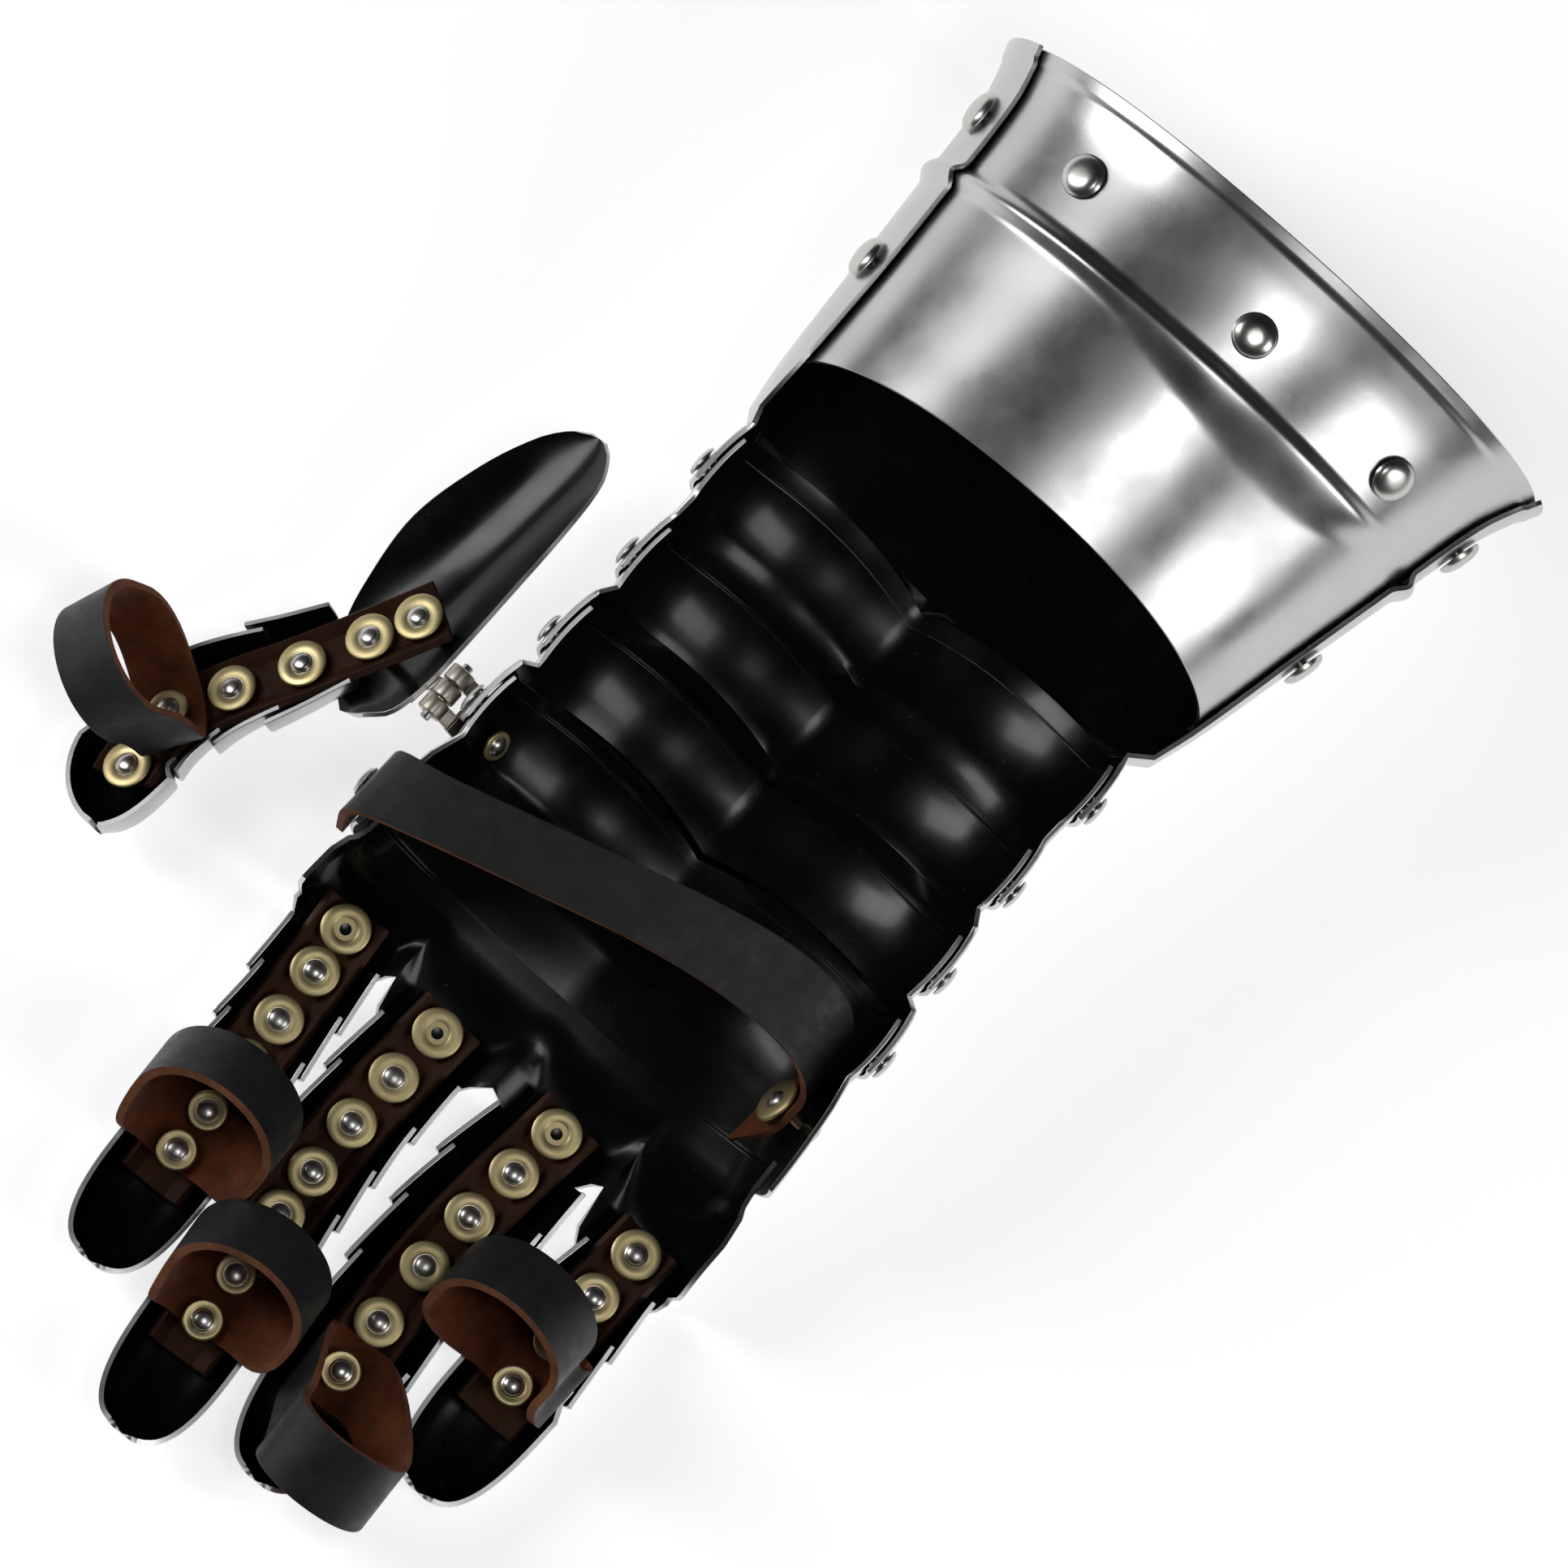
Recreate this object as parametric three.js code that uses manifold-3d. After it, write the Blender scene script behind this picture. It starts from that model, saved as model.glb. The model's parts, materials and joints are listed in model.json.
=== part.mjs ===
// Armoured gauntlet for the right hand, lying on its back with the palm side up.
// Millimetres, +Z up. X runs from the thumb side (-X) to the little finger side (+X),
// Y from the fingertips (-Y) to the cuff's mouth (+Y). The floor is at z = 0.
import * as THREE from "three";
import { mergeVertices } from "three/addons/utils/BufferGeometryUtils.js";
import Module from "manifold-3d";

const wasm = await Module();
wasm.setup();

// ---- driving dimensions ----------------------------------------------------

const STEEL = 1.2; // plate thickness
const LEATHER = 2.2; // strip, strap and loop thickness
const GAP = 0.7; // between a plate and the one that slides inside it
const INSET = STEEL + GAP; // how much smaller the inner of two nested plates is
const FINGER_INSET = STEEL + 1.0; // the same for the cone-shaped finger plates
const THUMB_INSET = STEEL + 1.7; // and for the thumb's, whose line bends more
const TOUCH = 0.35; // between fixed pieces that meet

const CUFF_END = 148;
const PALM_EDGE_SIDE = 53.5; // the palm plate's wrist edge at its two sides
const PALM_EDGE_MIDDLE = 63;
const CUFF_RIDGE = 112;
const CUFF_RIDGE_HEIGHT = 1.8;
const RIDGE_POINT = 24; // the palm plate's ridge runs out at this angle
const PALM_INSET = STEEL + 1.0;
const PALM_FROM = -7; // degrees above the cuff's equator, little finger side
const PALM_TO = 176;

const RIVET_HEAD = 5.6; // cuff rivets
const RIVET_DOME = 3;
const CUFF_SEAT = 0.7; // under a cuff rivet's head, on a curved plate
const CUFF_CLEAR = 1.6; // over its closed end
const PIVOT_HEAD = 4.4; // wrist rivets
const PIVOT_SHAFT = 2.5;
const PIVOT_HOLE = 3.3;
const WASHER = 6.2;
const WASHER_ON_LOOP = 5;
const WASHER_THICK = 0.9;
const STRIP_SHAFT = 1.5;
const STRIP_HOLE = 2.1;

// Wrist pivots: where each hinge axis crosses the side walls, and the arch of the
// outer plate there. The cuff turns on the first, the hand plate on the last.
const PIVOTS = [
  { y: 23, z: 64, xc: 1.6, a: 62.0, depth: 44.0 },
  { y: -4.5, z: 61, xc: 1.4, a: 61.0, depth: 44.0 },
  { y: -30.5, z: 57, xc: 1.3, a: 62.5, depth: 44.0 },
  { y: -54.5, z: 52, xc: 1.2, a: 65.0, depth: 43.0 },
];
const EAR = 8; // how far the ears rise over the pivots
const COVERED = 9.7; // how far a plate reaches in under its neighbour, from the pivot
const COVERS = 5; // how far a plate reaches over its neighbour, past the pivot
const SWING = 4.1; // how far the plates slide at the end of the wrist's travel
const DIP = 4; // plate edges dip towards the fingers along the back's crease
const KEEL = 2.4; // height of the crease along the back
const ARCH = 2.5; // exponent of the hand's arch, 2 is an ellipse

// The cuff's section at stations along the forearm.
const CUFF = [
  { y: 18, a: 62.0, depth: 44.0, zc: 64, n: 2.5, keel: 2.4, thumb: 8, little: 8 },
  { y: 23, a: 62.0, depth: 44.0, zc: 64, n: 2.5, keel: 2.4, thumb: 8, little: 8 },
  { y: 30, a: 62.4, depth: 44.0, zc: 64, n: 2.5, keel: 2.4, thumb: 9, little: 8 },
  { y: 37, a: 63.4, depth: 44.4, zc: 64, n: 2.45, keel: 2.3, thumb: 12, little: 8.5 },
  { y: 52, a: 66.8, depth: 47.5, zc: 63.8, n: 2.3, keel: 1.9, thumb: 18, little: 9.5 },
  { y: 79, a: 70.9, depth: 52.0, zc: 63.6, n: 2.15, keel: 1.2, thumb: 21, little: 10.8 },
  { y: 107, a: 75.1, depth: 56.6, zc: 63.6, n: 2.1, keel: 0.6, thumb: 23, little: 11.8 },
  { y: 134, a: 79.4, depth: 60.4, zc: 63.7, n: 2.1, keel: 0.2, thumb: 24.5, little: 12.6 },
  { y: 145, a: 83.2, depth: 63.0, zc: 63.7, n: 2.1, keel: 0, thumb: 25.5, little: 13 },
  { y: 148, a: 84.5, depth: 63.7, zc: 63.7, n: 2.1, keel: 0, thumb: 26, little: 13.2 },
];
const CUFF_LEAN = 0.08; // the cuff's middle drifts to the little finger side

// The hand plates beyond the last pivot.
const HAND = [
  { y: -63.5, a: 63.2, bottom: 8.6, rim: 59.5, n: 2.5, keel: 2.4 },
  { y: -73, a: 64.8, bottom: 6.6, rim: 55, n: 2.55, keel: 2.0 },
  { y: -84, a: 66.2, bottom: 4.0, rim: 48, n: 2.7, keel: 1.2 },
  { y: -94, a: 67.0, bottom: 2.4, rim: 41, n: 2.9, keel: 0.6 },
  { y: -106, a: 67.4, bottom: 1.2, rim: 34, n: 3.1, keel: 0 },
  { y: -120, a: 67.4, bottom: 0.6, rim: 27, n: 3.2, keel: 0 },
  { y: -133, a: 68.2, bottom: 0.6, rim: 25, n: 3.2, keel: 0 },
];
const METACARPAL_END = -94;
const KNUCKLE_START = -88;

// Fingers: the middle line passes through root, mid and tip. The first rivet is in the
// knuckle plate, the last in the tip cap, and each of the others in a lame of its own.
const FINGER_DEEP = 13;
const LAP = 3.6; // how far each finger lame reaches under the one behind it
const FINGERS = [
  {
    name: "index",
    inset: FINGER_INSET,
    line: [
      { y: -98, x: -51.8, half: 16.8 },
      { y: -140, x: -48, half: 14 },
      { y: -212, x: -43.5, half: 14 },
    ],
    rivets: [-111, -123.5, -138, -151.5, -166.5, -178.5],
    end: -212,
    edge: -118,
    loop: { last: 2, band: 19, half: 21, height: 37, lean: 42, turn: 0, dx: 2, dy: -8 },
  },
  {
    name: "middle",
    inset: FINGER_INSET,
    line: [
      { y: -98, x: -16.8, half: 17 },
      { y: -150, x: -18.4, half: 14.4 },
      { y: -238, x: -10.5, half: 14 },
    ],
    rivets: [-115, -130, -145, -160, -173, -191.5, -205],
    end: -238,
    edge: -124.5,
    loop: { last: 2, band: 19, half: 20, height: 37, lean: 42, turn: 0, dx: 4, dy: -8 },
  },
  {
    name: "ring",
    inset: FINGER_INSET,
    line: [
      { y: -98, x: 21.2, half: 17.8 },
      { y: -152, x: 17.2, half: 17.4 },
      { y: -225, x: 21, half: 14 },
    ],
    rivets: [-114, -128, -143, -159, -176.5, -192],
    end: -225,
    edge: -122.5,
    loop: { last: 1, band: 19, half: 17, height: 36, lean: -22, turn: 0, dx: 12, dy: -11 },
  },
  {
    name: "little",
    inset: FINGER_INSET,
    line: [
      { y: -98, x: 54.6, half: 13.4 },
      { y: -142, x: 52.4, half: 14 },
      { y: -201, x: 51.6, half: 14 },
    ],
    rivets: [-123, -137.5, -152.5, -167],
    end: -201,
    edge: -132,
    loop: { last: 2, band: 19, half: 20.5, height: 36, lean: 36, turn: 0, dx: -11, dy: -9 },
  },
];
const STRIP_HALF = 9;
const STRIP_FLAT = 5.2;
const STRIP_CURL = 2.7;
const STRIP_LIFT = 1.6; // clear of the lames' rounded inside
const STRIP_STEP = 12; // between its sections
const STRIP_BEFORE = 5.8; // from the first rivet to the strip's end on the knuckle plate
const STRIP_AFTER = 10; // from the last rivet to its end in the fingertip

// The thumb hinge, and the thumb in a frame of its own on the hinge's axis: -x runs out
// from the hinge along the thumb plates' plane, y along the hinge, and z out of the
// inside face.
const HINGE = { x: -70, y: -56.5, z: 43 };
const HINGE_LENGTH = 13.5;
const HINGE_BARREL = 3.3;
const HINGE_PIN = 1.3;
const THUMB_SLOPE = 32; // degrees that the thumb plates hang down from the hinge
const THUMB_LEAF = [
  { y: 15, near: -13, far: -18, sag: 0.6, drop: 0 },
  { y: 12.5, near: -9.6, far: -23, sag: 1.3, drop: 0 },
  { y: 6, near: -6, far: -29, sag: 3, drop: 0 },
  { y: -8, near: -4.6, far: -36, sag: 6, drop: 0 },
  { y: -27, near: -4.4, far: -42, sag: 8, drop: -2 },
  { y: -46, near: -4.4, far: -42.5, sag: 6.5, drop: -7 },
  { y: -58, near: -4.8, far: -40, sag: 5.5, drop: -9.8 },
  { y: -69, near: -7.5, far: -32, sag: 3.6, drop: -10.2 },
  { y: -73.5, near: -13, far: -25, sag: 1.6, drop: -10.4 },
];
const THUMB = {
  name: "thumb",
  inset: THUMB_INSET,
  line: [
    { y: -30, x: -11, half: 14.6 },
    { y: -45, x: -19.5, half: 14.6 },
    { y: -72, x: -36, half: 14.6 },
    { y: -93, x: -49.5, half: 14.6 },
    { y: -113, x: -54.5, half: 14.6 },
    { y: -134, x: -48, half: 14.6 },
  ],
  plateRivets: [-46, -57],
  rivets: [-57, -72, -87, -101, -117],
  end: -134,
  bottom: -9.9,
  loop: { band: 16, half: 20, height: 38, lean: -20, turn: -20, dx: -4, dy: 6 },
};

// The palm strap's middle line, from its riveted end outside the thumb-side wall, over
// the palm, round to its riveted end inside the little-finger wall. wy and wz give the
// way across the strap.
const STRAP_WIDE = 20;
const STRAP = [
  { x: -66.4, y: -86, z: 24, wx: 0, wy: 1, wz: 0 },
  { x: -67.2, y: -86, z: 36, wx: 0, wy: 1, wz: 0 },
  { x: -67.6, y: -85.8, z: 48, wx: 0.03, wy: 1, wz: 0.03 },
  { x: -66.2, y: -85.3, z: 54.8, wx: 0.1, wy: 1, wz: 0.05 },
  { x: -60, y: -83.6, z: 58.6, wx: 0.28, wy: 1, wz: 0.05 },
  { x: -42, y: -78.5, z: 62, wx: 0.32, wy: 1, wz: 0 },
  { x: -18, y: -71.5, z: 64.5, wx: 0.3, wy: 1, wz: 0 },
  { x: 8, y: -64, z: 65.5, wx: 0.25, wy: 1, wz: 0 },
  { x: 30, y: -59.5, z: 64, wx: 0.12, wy: 1, wz: 0.05 },
  { x: 47, y: -59, z: 59.5, wx: -0.05, wy: 1, wz: 0.12 },
  { x: 55, y: -62.5, z: 51, wx: -0.1, wy: 1, wz: 0.25 },
  { x: 57.2, y: -68, z: 41, wx: 0, wy: 1, wz: 0.35 },
  { x: 56, y: -74, z: 31.5, wx: 0.03, wy: 1, wz: 0.4 },
  { x: 51.2, y: -79.5, z: 23.5, wx: 0.06, wy: 1, wz: 0.35 },
];
// The rivets at the strap's ends: side of the hand, place, how deep the washer's seat
// lies in from the wall's outside, and how far out the head's seat lies.
const STRAP_RIVETS = [
  {
    name: "strap_rivet_thumb",
    side: -1,
    y: -84,
    z: 33,
    inside: STEEL + 1.8,
    outside: 4.6,
    washer: 4,
  },
  {
    name: "strap_rivet_little",
    side: 1,
    y: -75.5,
    z: 28,
    inside: 9.4,
    outside: 1.2,
    washer: WASHER,
  },
];
const LEAF_RIVET_Z = 29;

// ---- materials -------------------------------------------------------------

const finish = (color, roughness, metalness) =>
  new THREE.MeshStandardMaterial({ color, roughness, metalness, side: THREE.DoubleSide });
const POLISHED = finish(0xb9b9bb, 0.25, 1);
const BLACKENED = finish(0x14141a, 0.3, 0.6);
const DARK_LEATHER = finish(0x2c2c30, 0.6, 0);
const BROWN_LEATHER = finish(0x4a2412, 0.65, 0);
const BRASS = finish(0xc9b06a, 0.35, 1);

// ---- solids ----------------------------------------------------------------

const vec = (x, y, z) => new THREE.Vector3(x, y, z);
const radians = THREE.MathUtils.degToRad;

// The value at y of each column of a table, on a smooth curve through its rows.
function at(table, y) {
  const rows = [...table].sort((p, q) => p.y - q.y);
  const above = rows.findIndex((row) => row.y >= y);
  const k = above < 0 ? rows.length - 1 : Math.max(above, 1);
  const low = rows[k - 1];
  const high = rows[k];
  const before = rows[Math.max(k - 2, 0)];
  const after = rows[Math.min(k + 1, rows.length - 1)];
  const span = high.y - low.y;
  const t = THREE.MathUtils.clamp((y - low.y) / span, 0, 1);
  const out = {};
  for (const key of Object.keys(low)) {
    const slopeLow = ((high[key] - before[key]) / (high.y - before.y)) * span;
    const slopeHigh = ((after[key] - low[key]) / (after.y - low.y)) * span;
    const a = 2 * t ** 3 - 3 * t ** 2 + 1;
    const b = t ** 3 - 2 * t ** 2 + t;
    const c = t ** 3 - t ** 2;
    out[key] = a * low[key] + b * slopeLow + (1 - a) * high[key] + c * slopeHigh;
  }
  out.y = y;
  return out;
}

// A closed manifold-3d solid from a geometry whose faces share their corners.
function solidFrom(geometry) {
  const bare = geometry.clone();
  bare.deleteAttribute("normal");
  bare.deleteAttribute("uv");
  const merged = mergeVertices(bare, 1e-4);
  const index = merged.index.array;
  const kept = [];
  for (let i = 0; i < index.length; i += 3) {
    const [a, b, c] = [index[i], index[i + 1], index[i + 2]];
    if (a !== b && b !== c && a !== c) kept.push(a, b, c);
  }
  const vertProperties = merged.attributes.position.array;
  return new wasm.Manifold(
    new wasm.Mesh({ numProp: 3, vertProperties, triVerts: new Uint32Array(kept) }),
  );
}

// The way out of a grid's face at one of its points: across the columns x down the rows.
function faceNormal(rows, i, j, closed) {
  const n = rows.length;
  const m = rows[0].length;
  const up = closed ? rows[(i + n - 1) % n] : rows[Math.max(i - 1, 0)];
  const down = closed ? rows[(i + 1) % n] : rows[Math.min(i + 1, n - 1)];
  const across = rows[i][Math.min(j + 1, m - 1)].clone().sub(rows[i][Math.max(j - 1, 0)]);
  return across.cross(down[j].clone().sub(up[j])).normalize();
}

// A sheet of even thickness under a grid of points, as a closed solid. A closed sheet
// joins its last row to its first.
function sheet(rows, thickness, closed = false) {
  const n = rows.length;
  const m = rows[0].length;
  const points = [];
  for (const row of rows) points.push(...row);
  rows.forEach((row, i) =>
    row.forEach((p, j) =>
      points.push(p.clone().addScaledVector(faceNormal(rows, i, j, closed), -thickness)),
    ),
  );
  const outer = (i, j) => (i % n) * m + j;
  const inner = (i, j) => n * m + (i % n) * m + j;
  const index = [];
  const quad = (a, b, c, d) => index.push(a, b, c, a, c, d);
  const spans = closed ? n : n - 1;
  for (let i = 0; i < spans; i++) {
    for (let j = 0; j < m - 1; j++) {
      quad(outer(i, j), outer(i, j + 1), outer(i + 1, j + 1), outer(i + 1, j));
      quad(inner(i, j), inner(i + 1, j), inner(i + 1, j + 1), inner(i, j + 1));
    }
    quad(outer(i, 0), outer(i + 1, 0), inner(i + 1, 0), inner(i, 0));
    quad(outer(i + 1, m - 1), outer(i, m - 1), inner(i, m - 1), inner(i + 1, m - 1));
  }
  for (let j = 0; j < m - 1 && !closed; j++) {
    quad(outer(0, j + 1), outer(0, j), inner(0, j), inner(0, j + 1));
    quad(outer(n - 1, j), outer(n - 1, j + 1), inner(n - 1, j + 1), inner(n - 1, j));
  }
  const geometry = new THREE.BufferGeometry();
  geometry.setAttribute(
    "position",
    new THREE.Float32BufferAttribute(points.flatMap((p) => p.toArray()), 3),
  );
  geometry.setIndex(index);
  return solidFrom(geometry);
}

// A turned solid on the z axis, moved to a point with its axis along a direction.
function turned(profile, sides, point, direction) {
  const geometry = new THREE.LatheGeometry(
    profile.map(([r, z]) => new THREE.Vector2(r, z)),
    sides,
  );
  geometry.rotateX(Math.PI / 2);
  const axis = direction.clone().normalize();
  const turn = new THREE.Quaternion().setFromUnitVectors(vec(0, 0, 1), axis);
  geometry.applyQuaternion(turn).translate(...point.toArray());
  return solidFrom(geometry);
}

const rod = (radius, from, to, sides, point, direction) =>
  turned([[0, from], [radius, from], [radius, to], [0, to]], sides, point, direction);

const drill = (solid, radius, sides, point, direction, reach = 9) =>
  solid.subtract(rod(radius, -reach, reach, sides, point, direction));

// ---- the cuff --------------------------------------------------------------

const cuffMiddle = (y) => PIVOTS[0].xc + CUFF_LEAN * (y - PIVOTS[0].y);

// Half of a superellipse: its reach across at a height, and its depth at a place across.
const reachAt = (h, a, depth, n) =>
  a * (1 - Math.min(Math.abs(h) / depth, 1) ** n) ** (1 / n);
const depthAt = (x, a, depth, n) =>
  depth * (1 - Math.min(Math.abs(x) / a, 1) ** n) ** (1 / n);

const WALL = [1, 0.5, 0]; // along a side wall, from its top edge down
const WALL_FOOT = -15; // where the side wall ends and the arch begins
const ACROSS = [0.93, 0.8, 0.58, 0.3]; // of the half width, over the arch

// One row of points over a plate with an upright arch, from the thumb-side edge, round
// the back, to the little-finger edge. about is the pivot that the surface turns on, so
// that the row lies on a surface of revolution about it, and dip shifts the row's
// middle towards the fingers.
function archRow({ y, xc, a, depth, zc, n, keel, thumb, little, about, dip = 0 }) {
  const fromPivot = (yy) => (about ? yy - about.y : 0);
  const axis = about ? about.z : zc;
  const row = [];
  const wall = (side, top) => {
    for (const f of WALL) {
      const h = THREE.MathUtils.lerp(WALL_FOOT, top, f);
      const x = reachAt(Math.hypot(h, fromPivot(y)), a, depth, n);
      row.push(vec(xc + side * x, y, axis + h));
    }
  };
  const over = (side, f) => {
    const shift = dip * Math.sin(Math.PI * Math.min(f / ACROSS[0], 1)) ** 0.8;
    const yy = y + (dip ? shift : 0);
    const r = depthAt(f * a, a, depth, n) + keel * Math.max(0, 1 - f / 0.3);
    const d = fromPivot(yy);
    row.push(vec(xc + side * f * a, yy, axis - Math.sqrt(r * r - d * d)));
  };
  wall(-1, thumb);
  ACROSS.forEach((f) => over(-1, f));
  over(1, 0);
  [...ACROSS].reverse().forEach((f) => over(1, f));
  const start = row.length;
  wall(1, little);
  row.push(...row.splice(start).reverse());
  return row;
}

const ridgeAt = (y) =>
  CUFF_RIDGE_HEIGHT * Math.max(0, 1 - Math.abs(y - CUFF_RIDGE) / (y > CUFF_RIDGE ? 3.5 : 4));

// A point on the cuff's outside, by its station and its angle above the equator.
function cuffPoint(y, degrees, inset) {
  const s = at(CUFF, y);
  const fade = THREE.MathUtils.smoothstep(degrees, RIDGE_POINT, RIDGE_POINT + 20);
  const grow = ridgeAt(y) * fade - inset;
  const t = radians(degrees);
  const sign = Math.sign(Math.cos(t));
  const x = sign * (s.a + grow) * Math.abs(Math.cos(t)) ** (2 / s.n);
  const z = (s.depth + grow) * Math.abs(Math.sin(t)) ** (2 / s.n) * Math.sign(Math.sin(t));
  return vec(cuffMiddle(y) + x, y, s.zc + z);
}

const CUFF_ROWS = [52, 80, 108, 112, 115.5, 139, CUFF_END];

function cuffOut(y, degrees) {
  const along = cuffPoint(y - 5, degrees, 0).sub(cuffPoint(y + 5, degrees, 0));
  const round = cuffPoint(y, degrees + 3, 0).sub(cuffPoint(y, degrees - 3, 0));
  return round.cross(along).normalize();
}

// A dome-headed rivet through a plate, with its closed end inside.
function cuffRivet(point, out, through) {
  const end = -through - CUFF_CLEAR;
  const profile = [
    [0, end - 1.3],
    [3.4, end],
    [2, end],
    [2, CUFF_SEAT],
    [RIVET_HEAD, CUFF_SEAT],
    [RIVET_HEAD * 0.72, RIVET_DOME * 0.8],
    [0, RIVET_DOME],
  ];
  return turned(profile, 8, point, out);
}

const SEAM_RIVETS = [
  { name: "seam_rivet_thumb_1", y: 128, angle: 167 },
  { name: "seam_rivet_thumb_2", y: 84, angle: 167 },
  { name: "seam_rivet_little_1", y: 127, angle: 2 },
  { name: "seam_rivet_little_2", y: 82, angle: 2 },
];
const RIM_RIVETS = [
  { name: "rim_rivet_1", y: 128, angle: 128 },
  { name: "rim_rivet_2", y: 125, angle: 85 },
  { name: "rim_rivet_3", y: 124, angle: 45 },
];
const CUFF_HOLE = 2.8;

function cuffBack() {
  const pivot = PIVOTS[0];
  const zone = [-COVERS, 4.4, COVERED + SWING].map((d) => pivot.y + d);
  const rows = zone.map((y) =>
    archRow({
      ...pivot,
      y,
      n: ARCH,
      keel: KEEL,
      thumb: EAR,
      little: EAR,
      about: pivot,
      dip: DIP,
    }),
  );
  for (const y of CUFF_ROWS) {
    const s = at(CUFF, y);
    const grow = ridgeAt(y);
    rows.push(
      archRow({ ...s, a: s.a + grow, depth: s.depth + grow, xc: cuffMiddle(y) }),
    );
  }
  let plate = sheet(rows.reverse(), STEEL);
  plate = pivotHoles(plate, pivot);
  for (const { y, angle } of SEAM_RIVETS) {
    plate = drill(plate, CUFF_HOLE, 6, cuffPoint(y, angle, 0), cuffOut(y, angle), 5);
  }
  return plate;
}

function cuffPalm() {
  const columns = 13;
  const rows = CUFF_ROWS.slice(1).map((y, i) => {
    const row = [];
    for (let j = 0; j < columns; j++) {
      const angle = THREE.MathUtils.lerp(PALM_FROM, PALM_TO, j / (columns - 1));
      const arc = Math.max(Math.sin(radians(angle)), 0) ** 1.3;
      const edge = THREE.MathUtils.lerp(PALM_EDGE_SIDE, PALM_EDGE_MIDDLE, arc);
      row.push(cuffPoint(i === 0 ? edge : y, angle, PALM_INSET));
    }
    return row;
  });
  let plate = sheet(rows.reverse(), STEEL);
  for (const { y, angle } of SEAM_RIVETS) {
    plate = drill(plate, CUFF_HOLE, 6, cuffPoint(y, angle, 0), cuffOut(y, angle), 6);
  }
  for (const { y, angle } of RIM_RIVETS) {
    const point = cuffPoint(y, angle, PALM_INSET);
    plate = drill(plate, CUFF_HOLE, 6, point, cuffOut(y, angle), 6);
  }
  return plate;
}

// ---- wrist lames and hand plates -------------------------------------------

// Clearance holes for the rivets of a pivot, in the plate outside.
function pivotHoles(plate, pivot) {
  for (const side of [-1, 1]) {
    const point = vec(pivot.xc + side * pivot.a, pivot.y, pivot.z);
    plate = drill(plate, PIVOT_HOLE, 6, point, vec(1, 0, 0), 4);
  }
  return plate;
}

// The two rivets of a pivot, joined to the plate inside.
function pivotRivets(plate, pivot) {
  for (const side of [-1, 1]) {
    const point = vec(pivot.xc + side * pivot.a, pivot.y, pivot.z);
    const end = -INSET - STEEL;
    const profile = [
      [0, end - 1.2],
      [3.8, end + 0.2],
      [PIVOT_SHAFT, end + 0.2],
      [PIVOT_SHAFT, TOUCH],
      [PIVOT_HEAD, TOUCH],
      [0, TOUCH + 1.6],
    ];
    plate = plate.add(turned(profile, 8, point, vec(side, 0, 0)));
  }
  return plate;
}

// Rows over the part of a plate that lies under its neighbour, and over the part that
// covers the next one.
function coveredRows(pivot) {
  const inner = { ...pivot, a: pivot.a - INSET, depth: pivot.depth - INSET };
  return [COVERED, 0.6, -COVERS - SWING].map((d) =>
    archRow({
      ...inner,
      y: pivot.y + d,
      n: ARCH,
      keel: KEEL,
      thumb: EAR,
      little: EAR,
      about: pivot,
      dip: DIP,
    }),
  );
}
function coveringRows(pivot) {
  return [COVERED + SWING, 4.4, -COVERS].map((d) =>
    archRow({
      ...pivot,
      y: pivot.y + d,
      n: ARCH,
      keel: KEEL,
      thumb: EAR,
      little: EAR,
      about: pivot,
      dip: DIP,
    }),
  );
}

function wristLame(k) {
  const rows = [...coveredRows(PIVOTS[k]), ...coveringRows(PIVOTS[k + 1])];
  let plate = sheet(rows, STEEL);
  plate = pivotHoles(plate, PIVOTS[k + 1]);
  if (k === 2) plate = plate.subtract(hingeNotch());
  return pivotRivets(plate, PIVOTS[k]);
}

const handRow = (y, inset) => {
  const s = at(HAND, y);
  const rim = s.rim;
  return archRow({
    y,
    xc: PIVOTS[3].xc * 0.6,
    a: s.a - inset,
    depth: rim - EAR - s.bottom - inset,
    zc: rim - EAR,
    n: s.n,
    keel: s.keel,
    thumb: EAR,
    little: EAR,
  });
};

function metacarpalPlate() {
  const free = [-71, METACARPAL_END].map((y) => handRow(y, 0));
  let plate = sheet([...coveredRows(PIVOTS[3]), ...free], STEEL);
  plate = pivotRivets(plate, PIVOTS[3]);
  for (const rivet of STRAP_RIVETS) plate = strapHole(plate, rivet);
  const { point, out } = underWall(HINGE.y, LEAF_RIVET_Z);
  return drill(plate, STRIP_HOLE, 8, point, out, 5);
}

// A point on the hand plate's free wall and the way out of it there.
function handWall(side, y, z) {
  const s = at(HAND, y);
  const reach = (zz) => reachAt(s.rim - EAR - zz, s.a, s.rim - EAR - s.bottom, s.n);
  const lean = reach(z + 1) - reach(z - 1);
  const out = vec(side * 2, 0, -lean).normalize();
  return { point: vec(PIVOTS[3].xc * 0.6 + side * reach(z), y, z), out };
}

// The same on its thumb side under the last wrist pivot.
function underWall(y, z) {
  const pivot = PIVOTS[3];
  const d = y - pivot.y;
  const reach = (zz) =>
    reachAt(Math.hypot(zz - pivot.z, d), pivot.a - INSET, pivot.depth - INSET, ARCH);
  const lean = reach(z + 1) - reach(z - 1);
  const out = vec(-2, 0, -lean).normalize();
  return { point: vec(pivot.xc - reach(z), y, z), out };
}

// ---- fingers ---------------------------------------------------------------

const fingerLift = (finger, y) => {
  if (finger.bottom !== undefined) return finger.bottom;
  const t = Math.max(0, (-120 - y) / 110);
  return 0.5 + 5 * t * t;
};

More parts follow.
